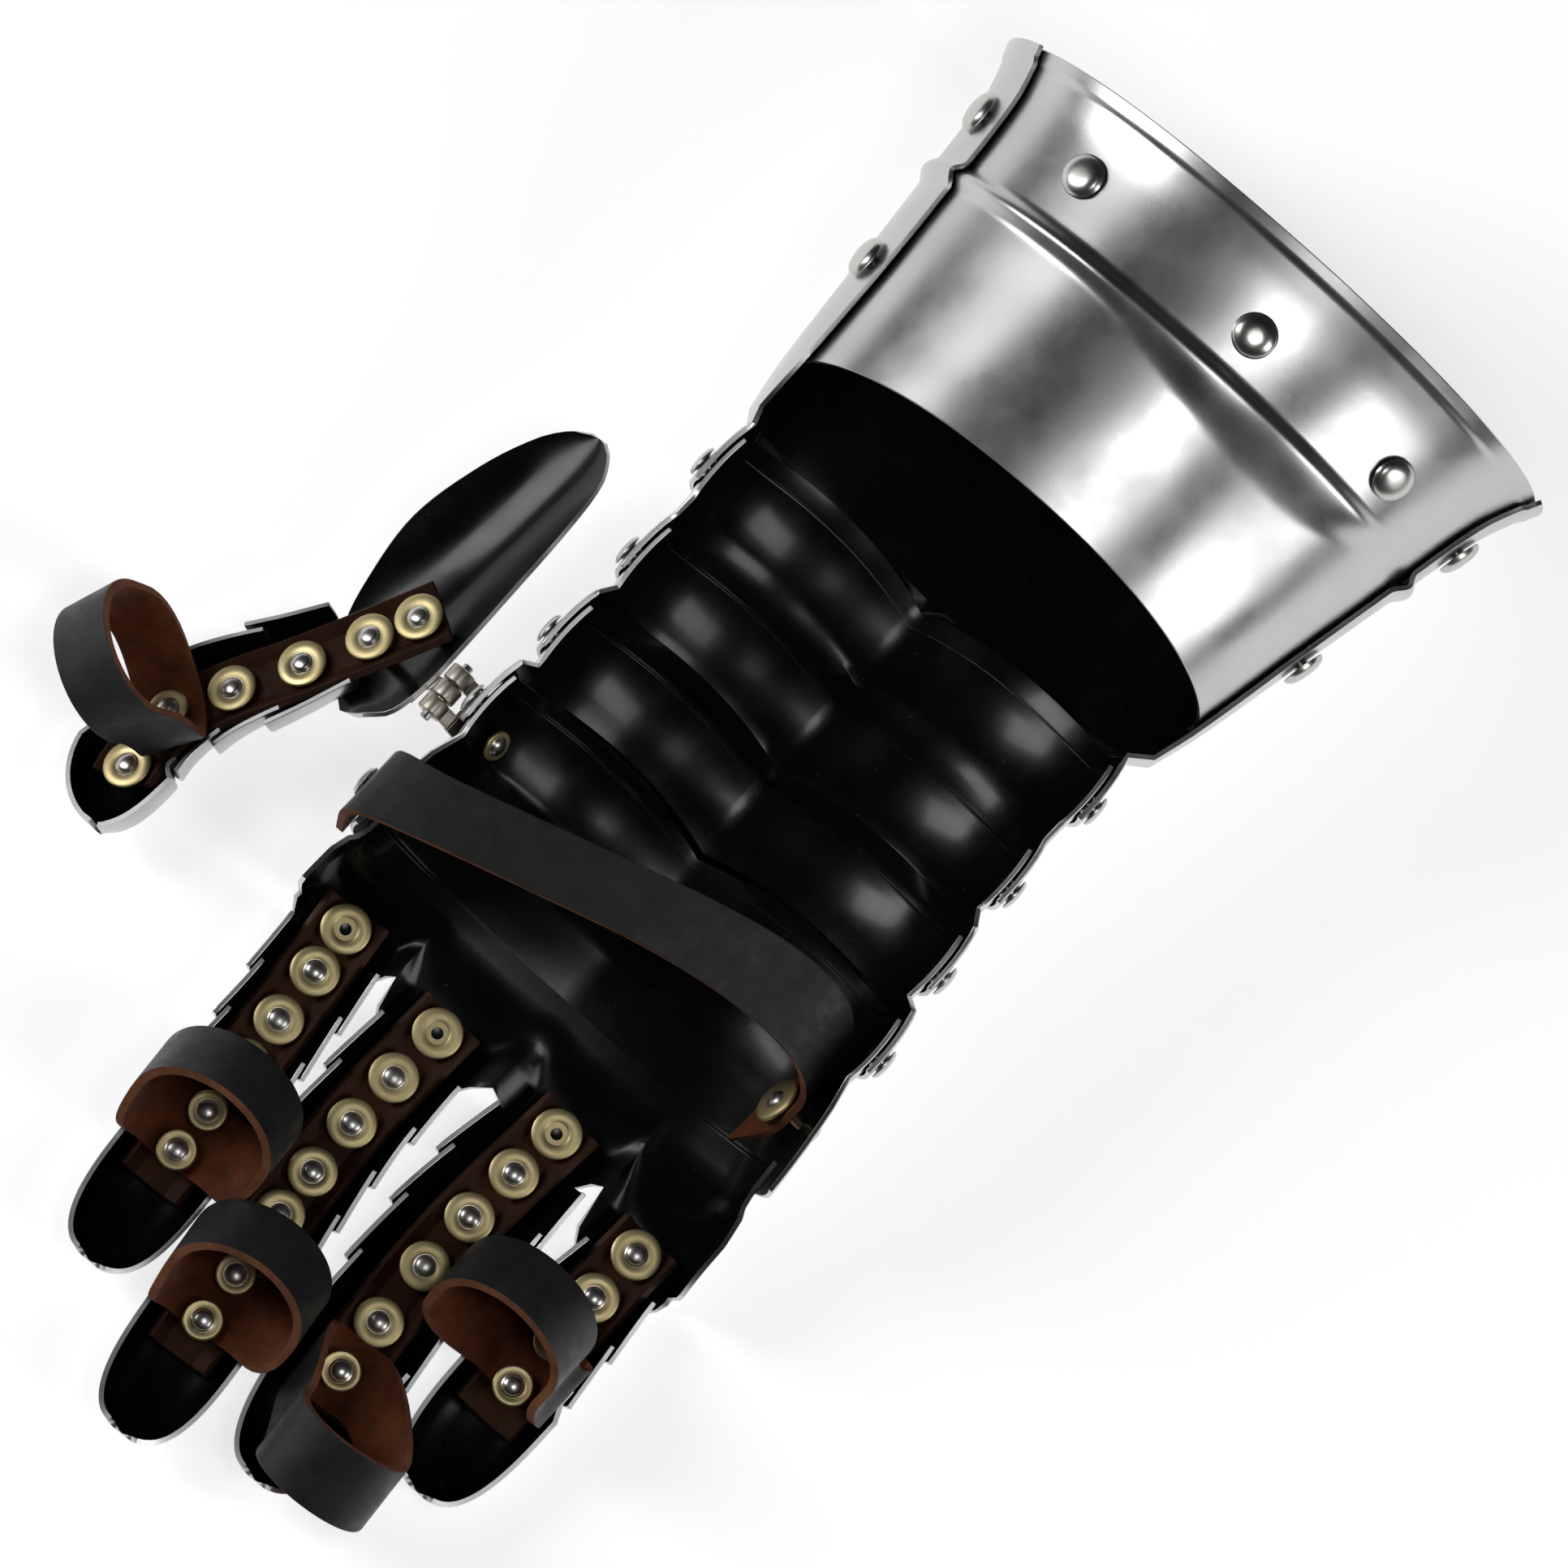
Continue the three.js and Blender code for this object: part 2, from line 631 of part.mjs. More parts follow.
// The middle line's place and side way at a station.
function onLine(finger, y) {
  const x = at(finger.line, y).x;
  const slope = (at(finger.line, y + 1).x - at(finger.line, y - 1).x) / 2;
  const side = vec(1, -slope, 0).normalize();
  return { centre: vec(x, y, fingerLift(finger, y)), side };
}

const SECTION = [0, 20, 48, 90, 132, 160, 180]; // degrees round the arch
const FINGER_ARCH = 2.4;

// One row over a finger plate's outside: narrower and higher by inset, and shrunk to a
// share of its width and depth near a fingertip.
function fingerRow(finger, y, inset, across = 1, deep = 1) {
  const { centre, side } = onLine(finger, y);
  const half = at(finger.line, y).half * across - inset;
  const depth = FINGER_DEEP * deep - inset;
  return SECTION.map((degrees) => {
    const t = radians(degrees);
    const s = -Math.sign(Math.cos(t)) * half * Math.abs(Math.cos(t)) ** (2 / FINGER_ARCH);
    const up = FINGER_DEEP - depth * Math.sin(t) ** (2 / FINGER_ARCH);
    return centre.clone().addScaledVector(side, s).add(vec(0, 0, up));
  });
}

// A washer over the strip with the rivet's bright end, and the shaft down to the plate.
function stripRivet(finger, y, lift, extra = 0) {
  const washer = extra ? WASHER_ON_LOOP : WASHER;
  const { centre } = onLine(finger, y);
  const foot = lift - 0.4;
  const seat = stripTop(finger) + WASHER_SEAT + extra;
  const profile = [
    [0, foot],
    [STRIP_SHAFT, foot],
    [STRIP_SHAFT, seat],
    [washer, seat],
    [washer, seat + WASHER_THICK],
    [0, seat + WASHER_THICK + 1],
  ];
  return turned(profile, 8, centre, vec(0, 0, 1));
}
const stripBase = (finger) => finger.inset + STEEL + STRIP_LIFT;
const stripTop = (finger) => stripBase(finger) + LEATHER;
const WASHER_SEAT = 1.7; // clear of the strip's curled sides
const LOOP_SEAT = 2.0;
const ON_LOOP = LOOP_SEAT + LEATHER + 0.9; // a washer's height over one under the loop

// A lame from halfway to the rivet before it to halfway to the one after.
function lame(finger, k, extra = 0) {
  const [before, rivet, after] = finger.rivets.slice(k - 1, k + 2);
  const start = (before + rivet) / 2 + LAP / 2;
  const end = (rivet + after) / 2 - LAP / 2;
  const rows = [fingerRow(finger, start, finger.inset), fingerRow(finger, end, 0)];
  const wall = STEEL + FINGER_INSET * 0.4;
  return sheet(rows, STEEL).add(stripRivet(finger, rivet, wall, extra));
}

// The cap over a fingertip: an arch that closes to a round end.
const TIP_REACH = 0.99; // the cap is cut off where its round end has almost closed

function tip(finger, start, point = 3) {
  const full = start - LAP - 5;
  const rows = [start, start - LAP].map((y) => fingerRow(finger, y, finger.inset));
  rows.push(fingerRow(finger, full, 0));
  const length = full - finger.end;
  for (const f of [0.5, 0.85, 1]) {
    const reach = f * TIP_REACH;
    const across = (1 - reach ** point) ** (1 / point);
    const deep = (1 - reach ** 2.6) ** (1 / 2.6);
    const y = full - f * length;
    rows.push(fingerRow(finger, y, 0, across, Math.max(deep, 0.42)));
  }
  return sheet(rows, STEEL);
}

function stripRow(finger, y) {
  const { centre, side } = onLine(finger, y);
  return [-STRIP_HALF, -STRIP_FLAT, STRIP_FLAT, STRIP_HALF].map((s) => {
    const up = stripBase(finger) + (Math.abs(s) > STRIP_FLAT ? STRIP_CURL : 0);
    return centre.clone().addScaledVector(side, s).add(vec(0, 0, up));
  });
}

function strip(finger, from, to, rivets) {
  const count = Math.round((from - to) / STRIP_STEP);
  const rows = [];
  for (let i = 0; i <= count; i++) {
    rows.push(stripRow(finger, THREE.MathUtils.lerp(from, to, i / count)));
  }
  let band = sheet(rows, LEATHER);
  for (const y of rivets) {
    band = drill(band, STRIP_HOLE, 6, onLine(finger, y).centre, vec(0, 0, 1), 12);
  }
  return band;
}

// A leather loop over the strip: flat where it is riveted, then round. Its top leans by
// lean degrees towards the cuff, the whole is turned by turn degrees about the way up,
// and above the strip it sags by dx and dy.
function loopRows(finger, y) {
  const { lean, half, height, band, turn, dx, dy } = finger.loop;
  const { centre, side } = onLine(finger, y);
  const across = side.clone().applyAxisAngle(vec(0, 0, 1), radians(turn));
  const along = vec(-across.y, across.x, 0);
  const base = stripTop(finger) + LOOP_SEAT;
  const steps = 12;
  const rows = [];
  for (let i = 0; i < steps; i++) {
    const t = (i / steps) * 2 * Math.PI;
    const rise = ((1 - Math.cos(t)) / 2) ** 1.25;
    const wide = half * Math.sin(t) * (0.5 + 0.65 * rise ** 0.6);
    const tilt = radians(lean) * THREE.MathUtils.smoothstep(rise, 0.08, 0.6);
    const up = vec(0, 0, Math.cos(tilt)).addScaledVector(along, Math.sin(tilt));
    const over = along.clone().multiplyScalar(Math.cos(tilt)).add(vec(0, 0, -Math.sin(tilt)));
    const sag = THREE.MathUtils.smoothstep(rise, 0.08, 0.5);
    const middle = centre.clone().add(vec(dx * sag, dy * sag, base));
    middle.addScaledVector(across, wide).addScaledVector(up, rise * height);
    rows.push([-1, 1].map((s) => middle.clone().addScaledVector(over, (-s * band) / 2)));
  }
  return rows;
}

function loop(finger, y, rivets) {
  let band = sheet(loopRows(finger, y).reverse(), LEATHER, true);
  for (const station of rivets) {
    const point = onLine(finger, station).centre.clone();
    point.z += stripTop(finger) + 1;
    band = drill(band, STRIP_HOLE, 6, point, vec(0, 0, 1), 5);
  }
  return band;
}

// ---- the knuckle plate -----------------------------------------------------

// Four bosses side by side, one over each finger, fading back into the plain arch.
const BOSS_HALF = 17;
const BOSS_DEEP = 10;
const BOSS = [-1, -0.62, 0, 0.62, 1]; // of the boss's half width

function knuckleRow(step, inset) {
  const columns = [];
  FINGERS.forEach((finger, k) => {
    BOSS.forEach((f) => {
      if (f === -1 && k > 0) return;
      columns.push({ finger, k, f });
    });
  });
  const points = columns.map(({ finger, k, f }) => {
    const valley = Math.abs(f) === 1;
    const next = valley && k < 3 && f === 1 ? FINGERS[k + 1] : finger;
    const edge = valley ? Math.max(finger.edge, next.edge) + 7 : finger.edge;
    const y = THREE.MathUtils.lerp(KNUCKLE_START, edge, step);
    const here = at(finger.line, Math.min(y, -107)).x;
    const there = at(next.line, Math.min(y, -107)).x;
    const s = at(HAND, y);
    const wide = s.a - inset - 1.4;
    const free = next === finger ? here + f * BOSS_HALF : (here + there) / 2;
    const x = THREE.MathUtils.clamp(free, 0.7 - wide, 0.7 + wide);
    const arch = s.rim - EAR - s.bottom - inset;
    const plain = s.rim - EAR - depthAt(x - 0.7, s.a - inset, arch, s.n);
    const boss = inset * 0.2 + BOSS_DEEP - depthAt(f, 1.12, BOSS_DEEP, 2.2);
    const share = THREE.MathUtils.smoothstep(step, 0.2, 0.75);
    return vec(x, y, THREE.MathUtils.lerp(plain, boss, share));
  });
  const wall = (side, near) => {
    const s = at(HAND, near.y);
    const out = Math.abs(near.x - 0.7);
    const reach = s.a - inset - (inset > INSET ? 0.8 : 0);
    const foot = vec(0.7 + (side * (reach + out)) / 2, near.y, near.z + 6);
    const high = Math.max(s.rim - inset, foot.z + 4);
    const middle = (foot.z + high) / 2;
    const x = 0.7 + side * reach;
    return [vec(x, near.y, high), vec(x, near.y, middle), foot];
  };
  const first = points[0];
  const last = points[points.length - 1];
  return [...wall(-1, first), ...points, ...wall(1, last).reverse()];
}

function knucklePlate() {
  const rows = [0, 0.2, 0.6, 1].map((step) =>
    knuckleRow(step, step < 0.3 ? INSET + 0.9 : 1 - step),
  );
  let plate = sheet(rows, STEEL);
  for (const finger of FINGERS) {
    plate = plate.add(stripRivet(finger, finger.rivets[0], 1.2));
  }
  return plate;
}

// ---- strap -----------------------------------------------------------------

function palmStrap() {
  const rows = STRAP.map(({ x, y, z, wx, wy, wz }) => {
    const across = vec(wx, wy, wz).normalize();
    return [-0.5, 0.5].map((s) => vec(x, y, z).addScaledVector(across, s * STRAP_WIDE));
  });
  let band = sheet(rows, LEATHER);
  for (const rivet of STRAP_RIVETS) band = strapHole(band, rivet);
  return band;
}

function strapHole(solid, { side, y, z }) {
  const { point, out } = handWall(side, y, z);
  return drill(solid, STRIP_HOLE, 8, point, out, 10);
}

// A rivet with a washer inside the hand and a low head outside.
function strapRivet({ side, y, z, inside, outside, washer }) {
  const { point, out } = handWall(side, y, z);
  return throughRivet(inside + TOUCH, outside + TOUCH, washer, point, out);
}

function throughRivet(inside, outside, washer, point, out) {
  const profile = [
    [0, -inside - WASHER_THICK - 1],
    [washer, -inside - WASHER_THICK],
    [washer, -inside],
    [STRIP_SHAFT, -inside],
    [STRIP_SHAFT, outside],
    [4.2, outside],
    [3.4, outside + 1.2],
    [0, outside + 1.7],
  ];
  return turned(profile, 8, point, out);
}

// ---- thumb hinge -----------------------------------------------------------

// Knuckles of the hinge: two on the hand's leaf, with the thumb's one between.
const KNUCKLES = [
  { on: "hand", from: 0, to: 0.33 },
  { on: "thumb", from: 0.33, to: 0.67 },
  { on: "hand", from: 0.67, to: 1 },
];

// The last wrist lame is cut away round the hinge's leaf.
function hingeNotch() {
  const box = new THREE.BoxGeometry(34, 20, 32);
  box.translate(HINGE.x + 8, HINGE.y + 0.4, 29.5);
  return solidFrom(box);
}

const hingeY = (share) => HINGE.y - HINGE_LENGTH / 2 + share * HINGE_LENGTH;

// A leaf with its own barrel knuckles, bored for the pin. The axis is at x, z.
function hingeLeaf(part, leafRows, x, z) {
  let leaf = sheet(leafRows, STEEL);
  const axis = vec(0, 1, 0);
  for (const { on, from, to } of KNUCKLES) {
    const low = hingeY(from) + (from > 0 ? TOUCH / 2 : 0);
    const high = hingeY(to) - (to < 1 ? TOUCH / 2 : 0);
    const room = HINGE_BARREL + TOUCH;
    if (on === part) {
      leaf = leaf.add(rod(HINGE_BARREL, low, high, 10, vec(x, 0, z), axis));
    } else {
      const start = from > 0 ? low - TOUCH : low - 5;
      const end = to < 1 ? high + TOUCH : high + 5;
      leaf = leaf.subtract(rod(room, start, end, 10, vec(x, 0, z), axis));
    }
  }
  return leaf.subtract(rod(HINGE_PIN + TOUCH, -99, 0, 8, vec(x, 0, z), axis));
}

function hingeLeafHand() {
  const stations = [hingeY(1), hingeY(0)];
  const lift = STEEL + 1.1;
  const onWall = (z) =>
    stations.map((y) => {
      const { point, out } = underWall(y, z);
      return point.addScaledVector(out, lift);
    });
  const bridge = stations.map((y) => vec(HINGE.x + 2.4, y, HINGE.z - 0.4));
  const shoulder = stations.map((y) => vec(HINGE.x + 5.2, y, HINGE.z - 2));
  const rows = [bridge, shoulder, onWall(36), onWall(30), onWall(25)];
  const leaf = hingeLeaf("hand", rows.map((row) => row.reverse()), HINGE.x, HINGE.z);
  const { point, out } = underWall(HINGE.y, LEAF_RIVET_Z);
  return leaf.add(throughRivet(STEEL + 1.9, lift - 0.6, 4, point, out));
}

function hingePin() {
  const low = hingeY(0) - 1.6;
  const high = hingeY(1) + 1.6;
  return rod(HINGE_PIN, low, high, 8, vec(HINGE.x, 0, HINGE.z), vec(0, 1, 0));
}

// ---- the thumb -------------------------------------------------------------

// A point on the outside of the thumb's base plate, from its near edge (0) to its far
// edge (1).
function leafPoint(y, share, lower = 0) {
  const s = at(THUMB_LEAF, y);
  const x = THREE.MathUtils.lerp(s.near, s.far, share);
  return vec(x, y, s.drop * share - s.sag * 4 * share * (1 - share) - lower);
}

function thumbBasePlate() {
  const ys = [15, 12.5, 6, -8, -27, -44, -58, -69, -73.5];
  const shares = [1, 0.78, 0.5, 0.22, 0];
  const plate = sheet(ys.map((y) => shares.map((share) => leafPoint(y, share))), STEEL);
  const [first, second] = THUMB.plateRivets;
  return plate.add(stripRivet(THUMB, first, 1.2)).add(stripRivet(THUMB, second, -0.6));
}

function hingeLeafThumb() {
  const stations = [hingeY(1), hingeY(0.5), hingeY(0)];
  const rows = stations.map((y) =>
    [0.34, 0.25, 0.16, 0.08, 0.02, -0.05].map((share) => leafPoint(y, share, STEEL + 0.5)),
  );
  return hingeLeaf("thumb", rows, 0, 0);
}

function addThumb(parent) {
  add(parent, "hinge_leaf_thumb", hingeLeafThumb(), BLACKENED);
  add(parent, "thumb_base_plate", thumbBasePlate(), BLACKENED);
  const loopRivet = THUMB.rivets[3];
  for (const k of [1, 2, 3]) {
    const extra = THUMB.rivets[k] === loopRivet ? ON_LOOP : 0;
    add(parent, `thumb_lame_${k}`, lame(THUMB, k, extra), BLACKENED);
  }
  const last = THUMB.rivets[4];
  const start = (loopRivet + last) / 2 + LAP / 2;
  const rivet = stripRivet(THUMB, last, STEEL);
  add(parent, "thumb_tip", tip(THUMB, start, 1.7).add(rivet), BLACKENED);
  const rivets = [THUMB.plateRivets[0], ...THUMB.rivets];
  add(parent, "thumb_strip", strip(THUMB, -41, -120, rivets), BROWN_LEATHER);
  add(parent, "thumb_loop", loop(THUMB, loopRivet, [loopRivet]), DARK_LEATHER);
}

const group = new THREE.Group();
const add = (parent, name, solid, material) => {
  const made = solid.getMesh();
  const geometry = new THREE.BufferGeometry();
  geometry.setAttribute("position", new THREE.BufferAttribute(made.vertProperties, 3));
  geometry.setIndex(new THREE.BufferAttribute(made.triVerts, 1));
  geometry.computeVertexNormals();
  const mesh = new THREE.Mesh(geometry, material);
  mesh.name = name;
  parent.add(mesh);
};

add(group, "cuff_back", cuffBack(), POLISHED);
add(group, "cuff_palm", cuffPalm(), POLISHED);
for (const { name, y, angle } of SEAM_RIVETS) {
  const made = cuffRivet(cuffPoint(y, angle, 0), cuffOut(y, angle), PALM_INSET + STEEL);
  add(group, name, made, POLISHED);
}
for (const { name, y, angle } of RIM_RIVETS) {
  const made = cuffRivet(cuffPoint(y, angle, PALM_INSET), cuffOut(y, angle), STEEL);
  add(group, name, made, POLISHED);
}
for (const k of [0, 1, 2]) add(group, `wrist_lame_${k + 1}`, wristLame(k), BLACKENED);
add(group, "metacarpal_plate", metacarpalPlate(), BLACKENED);
add(group, "knuckle_plate", knucklePlate(), BLACKENED);

for (const finger of FINGERS) {
  const rivets = finger.rivets;
  const loopRivets = rivets.slice(-finger.loop.last);
  const loopAt = (loopRivets[0] + loopRivets[loopRivets.length - 1]) / 2;
  const onLoop = (y) => (loopRivets.includes(y) ? ON_LOOP : 0);
  for (let k = 1; k < rivets.length - 1; k++) {
    const made = lame(finger, k, onLoop(rivets[k]));
    add(group, `${finger.name}_lame_${k}`, made, BLACKENED);
  }
  const last = rivets[rivets.length - 1];
  const start = (last + rivets[rivets.length - 2]) / 2 + LAP / 2;
  const rivet = stripRivet(finger, last, STEEL, onLoop(last));
  const cap = tip(finger, start).add(rivet);
  add(group, `${finger.name}_tip`, cap, BLACKENED);
  const band = strip(finger, rivets[0] + STRIP_BEFORE, last - STRIP_AFTER, rivets);
  add(group, `${finger.name}_strip`, band, BROWN_LEATHER);
  add(group, `${finger.name}_loop`, loop(finger, loopAt, loopRivets), DARK_LEATHER);
}

add(group, "palm_strap", palmStrap(), DARK_LEATHER);
for (const rivet of STRAP_RIVETS) add(group, rivet.name, strapRivet(rivet), BRASS);
add(group, "hinge_leaf_hand", hingeLeafHand(), BLACKENED);
add(group, "hinge_pin", hingePin(), BRASS);

const thumb = new THREE.Group();
thumb.position.set(HINGE.x, 0, HINGE.z);
thumb.rotation.y = -radians(THUMB_SLOPE);
group.add(thumb);
addThumb(thumb);

// The part's origin is the middle of its bounding box's bottom.
const part = new THREE.Group();
part.add(group);
const box = new THREE.Box3().setFromObject(part, true);
const middle = box.getCenter(vec(0, 0, 0));
group.position.set(-middle.x, -middle.y, -box.min.z);

export default part;
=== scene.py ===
"""Looks of the armoured gauntlet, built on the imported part."""
import json
import math

import bpy
from mathutils import Matrix, Vector


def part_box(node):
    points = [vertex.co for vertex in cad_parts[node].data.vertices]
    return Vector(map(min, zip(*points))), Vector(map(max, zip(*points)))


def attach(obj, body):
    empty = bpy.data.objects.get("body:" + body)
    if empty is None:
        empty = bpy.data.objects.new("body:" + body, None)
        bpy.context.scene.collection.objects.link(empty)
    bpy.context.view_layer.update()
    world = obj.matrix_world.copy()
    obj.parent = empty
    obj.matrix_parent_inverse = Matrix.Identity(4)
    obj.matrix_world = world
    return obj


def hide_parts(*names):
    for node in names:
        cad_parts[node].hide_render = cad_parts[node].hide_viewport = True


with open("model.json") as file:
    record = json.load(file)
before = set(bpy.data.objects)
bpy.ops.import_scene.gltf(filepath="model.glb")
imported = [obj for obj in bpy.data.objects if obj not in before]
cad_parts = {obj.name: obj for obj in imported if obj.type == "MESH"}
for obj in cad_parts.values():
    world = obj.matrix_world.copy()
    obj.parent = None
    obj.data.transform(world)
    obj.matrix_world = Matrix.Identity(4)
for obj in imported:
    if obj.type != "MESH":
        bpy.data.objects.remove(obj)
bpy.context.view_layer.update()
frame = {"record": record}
RECORD = frame["record"]

# ---- dimensions, in millimetres, as in the part ------------------------------

MM = 0.001
STEEL = 1.2  # plate thickness
LEATHER = 2.2  # strip, strap and loop thickness
INSET = STEEL + 0.7  # how much smaller the inner of two nested plates is
FINGER_INSET = STEEL + 1.0  # the same for the cone-shaped finger plates
THUMB_INSET = STEEL + 1.7  # and for the thumb's, whose line bends more
TOUCH = 0.35  # between fixed pieces that meet
CUFF_END = 148
PALM_EDGE_SIDE = 53.5  # the palm plate's wrist edge at its two sides
PALM_EDGE_MIDDLE = 63
CUFF_RIDGE = 112
RIDGE_HEIGHT = 1.8
RIDGE_POINT = 24  # the palm plate's ridge runs out at this angle
PALM_INSET = STEEL + 1.0
PALM_FROM, PALM_TO = -7, 176  # degrees above the cuff's equator, little finger side
# Wrist pivots: where each hinge axis crosses the side walls, and the arch there.
PIVOTS = [
    dict(y=23, z=64, xc=1.6, a=62.0, depth=44.0),
    dict(y=-4.5, z=61, xc=1.4, a=61.0, depth=44.0),
    dict(y=-30.5, z=57, xc=1.3, a=62.5, depth=44.0),
    dict(y=-54.5, z=52, xc=1.2, a=65.0, depth=43.0),
]
EAR = 8  # how far the ears rise over the pivots
COVERED = 9.7  # how far a plate reaches in under its neighbour, from the pivot
COVERS = 5  # how far a plate reaches over its neighbour, past the pivot
SWING = 4.1  # how far the plates slide at the end of the wrist's travel
DIP = 4  # plate edges dip towards the fingers along the back's crease
KEEL = 2.4  # height of the crease along the back
ARCH = 2.5  # exponent of the hand's arch, 2 is an ellipse


def table(keys, rows):
    """Rows of numbers as dictionaries, under the names in keys."""
    return [dict(zip(keys.split(), row)) for row in rows]


CUFF = table("y a depth zc n keel thumb little", [
    (18, 62.0, 44.0, 64, 2.5, 2.4, 8, 8),
    (23, 62.0, 44.0, 64, 2.5, 2.4, 8, 8),
    (30, 62.4, 44.0, 64, 2.5, 2.4, 9, 8),
    (37, 63.4, 44.4, 64, 2.45, 2.3, 12, 8.5),
    (52, 66.8, 47.5, 63.8, 2.3, 1.9, 18, 9.5),
    (79, 70.9, 52.0, 63.6, 2.15, 1.2, 21, 10.8),
    (107, 75.1, 56.6, 63.6, 2.1, 0.6, 23, 11.8),
    (134, 79.4, 60.4, 63.7, 2.1, 0.2, 24.5, 12.6),
    (145, 83.2, 63.0, 63.7, 2.1, 0, 25.5, 13),
    (148, 84.5, 63.7, 63.7, 2.1, 0, 26, 13.2),
])
CUFF_LEAN = 0.08  # how far its middle moves across for each millimetre along
HAND = table("y a bottom rim n keel", [
    (-63.5, 63.2, 8.6, 59.5, 2.5, 2.4),
    (-73, 64.8, 6.6, 55, 2.55, 2.0),
    (-84, 66.2, 4.0, 48, 2.7, 1.2),
    (-94, 67.0, 2.4, 41, 2.9, 0.6),
    (-106, 67.4, 1.2, 34, 3.1, 0),
    (-120, 67.4, 0.6, 27, 3.2, 0),
    (-133, 68.2, 0.6, 25, 3.2, 0),
])
METACARPAL_START, METACARPAL_END = -71, -94
KNUCKLE_START = -88
HAND_MIDDLE = PIVOTS[3]["xc"] * 0.6
KNUCKLE_MIDDLE = 0.7
FINGER_DEEP = 13
LAP = 3.6  # how far one finger plate reaches over the next


def line(*points):
    """The line that finger plates lie along, from (y, x, half width) points."""
    return [dict(y=y, x=x, half=half) for y, x, half in points]


def digit(name, end, edge, points, rivets, **loop):
    """A finger: rivets, end and the knuckle plate's edge are stations along y."""
    return dict(name=name, inset=FINGER_INSET, end=end, edge=edge, line=line(*points),
                rivets=rivets, loop=dict(band=19, turn=0, **loop))


# A loop stands on its finger's last rivets. It leans, turns and shifts by dx and dy.
FINGERS = [
    digit("index", -212, -118, [(-98, -51.8, 16.8), (-140, -48, 14), (-212, -43.5, 14)],
          [-111, -123.5, -138, -151.5, -166.5, -178.5],
          last=2, half=21, height=37, lean=42, dx=2, dy=-8),
    digit("middle", -238, -124.5, [(-98, -16.8, 17), (-150, -18.4, 14.4), (-238, -10.5, 14)],
          [-115, -130, -145, -160, -173, -191.5, -205],
          last=2, half=20, height=37, lean=42, dx=4, dy=-8),
    digit("ring", -225, -122.5, [(-98, 21.2, 17.8), (-152, 17.2, 17.4), (-225, 21, 14)],
          [-114, -128, -143, -159, -176.5, -192],
          last=1, half=17, height=36, lean=-22, dx=12, dy=-11),
    digit("little", -201, -132, [(-98, 54.6, 13.4), (-142, 52.4, 14), (-201, 51.6, 14)],
          [-123, -137.5, -152.5, -167],
          last=2, half=20.5, height=36, lean=36, dx=-11, dy=-9),
]
STRIP_HALF, STRIP_FLAT = 9, 5.2  # half widths of a strip and of its flat middle
STRIP_CURL = 2.7  # how far its sides curl up
STRIP_LIFT = 1.6  # over the plates
STRIP_BEFORE, STRIP_AFTER = 5.8, 10  # how far it passes its first and last rivet
WASHER_SEAT, LOOP_SEAT = 1.7, 2.0  # over the strip's middle
ON_LOOP = LOOP_SEAT + LEATHER + 0.9  # how much higher a rivet through a loop sits
WASHER, WASHER_ON_LOOP, WASHER_THICK = 6.2, 5.0, 0.9
SHAFT = 1.5
HINGE = dict(x=-70, y=-56.5, z=43)
HINGE_LENGTH, HINGE_BARREL, HINGE_PIN = 13.5, 3.3, 1.3
PIN_PAST = 1.6  # how far the pin stands out of the hinge at each end
THUMB_SLOPE = 32  # degrees that the thumb is turned about the hinge
THUMB_LEAF = table("y near far sag drop", [
    (15, -13, -18, 0.6, 0),
    (12.5, -9.6, -23, 1.3, 0),
    (6, -6, -29, 3, 0),
    (-8, -4.6, -36, 6, 0),
    (-27, -4.4, -42, 8, -2),
    (-46, -4.4, -42.5, 6.5, -7),
    (-58, -4.8, -40, 5.5, -9.8),
    (-69, -7.5, -32, 3.6, -10.2),
    (-73.5, -13, -25, 1.6, -10.4),
])
THUMB = dict(
    name="thumb", inset=THUMB_INSET, end=-134, bottom=-9.9,
    line=line((-30, -11, 14.6), (-45, -19.5, 14.6), (-72, -36, 14.6), (-93, -49.5, 14.6),
              (-113, -54.5, 14.6), (-134, -48, 14.6)),
    plate_rivets=[-46, -57], rivets=[-57, -72, -87, -101, -117],
    loop=dict(band=16, half=20, height=38, lean=-20, turn=-20, dx=-4, dy=6),
)
THUMB_STRIP_START, THUMB_STRIP_END = -41, -120
STRAP_WIDE = 20
# The strap's middle line, with the way across it.
STRAP = table("x y z wx wy wz", [
    (-66.4, -86, 24, 0, 1, 0),
    (-67.2, -86, 36, 0, 1, 0),
    (-67.6, -85.8, 48, 0.03, 1, 0.03),
    (-66.2, -85.3, 54.8, 0.1, 1, 0.05),
    (-60, -83.6, 58.6, 0.28, 1, 0.05),
    (-42, -78.5, 62, 0.32, 1, 0),
    (-18, -71.5, 64.5, 0.3, 1, 0),
    (8, -64, 65.5, 0.25, 1, 0),
    (30, -59.5, 64, 0.12, 1, 0.05),
    (47, -59, 59.5, -0.05, 1, 0.12),
    (55, -62.5, 51, -0.1, 1, 0.25),
    (57.2, -68, 41, 0, 1, 0.35),
    (56, -74, 31.5, 0.03, 1, 0.4),
    (51.2, -79.5, 23.5, 0.06, 1, 0.35),
])
STRAP_RIVETS = [
    dict(name="strap_rivet_thumb", side=-1, y=-84, z=33,
         inside=STEEL + 1.8, outside=4.6, washer=4),
    dict(name="strap_rivet_little", side=1, y=-75.5, z=28,
         inside=9.4, outside=1.2, washer=WASHER),
]
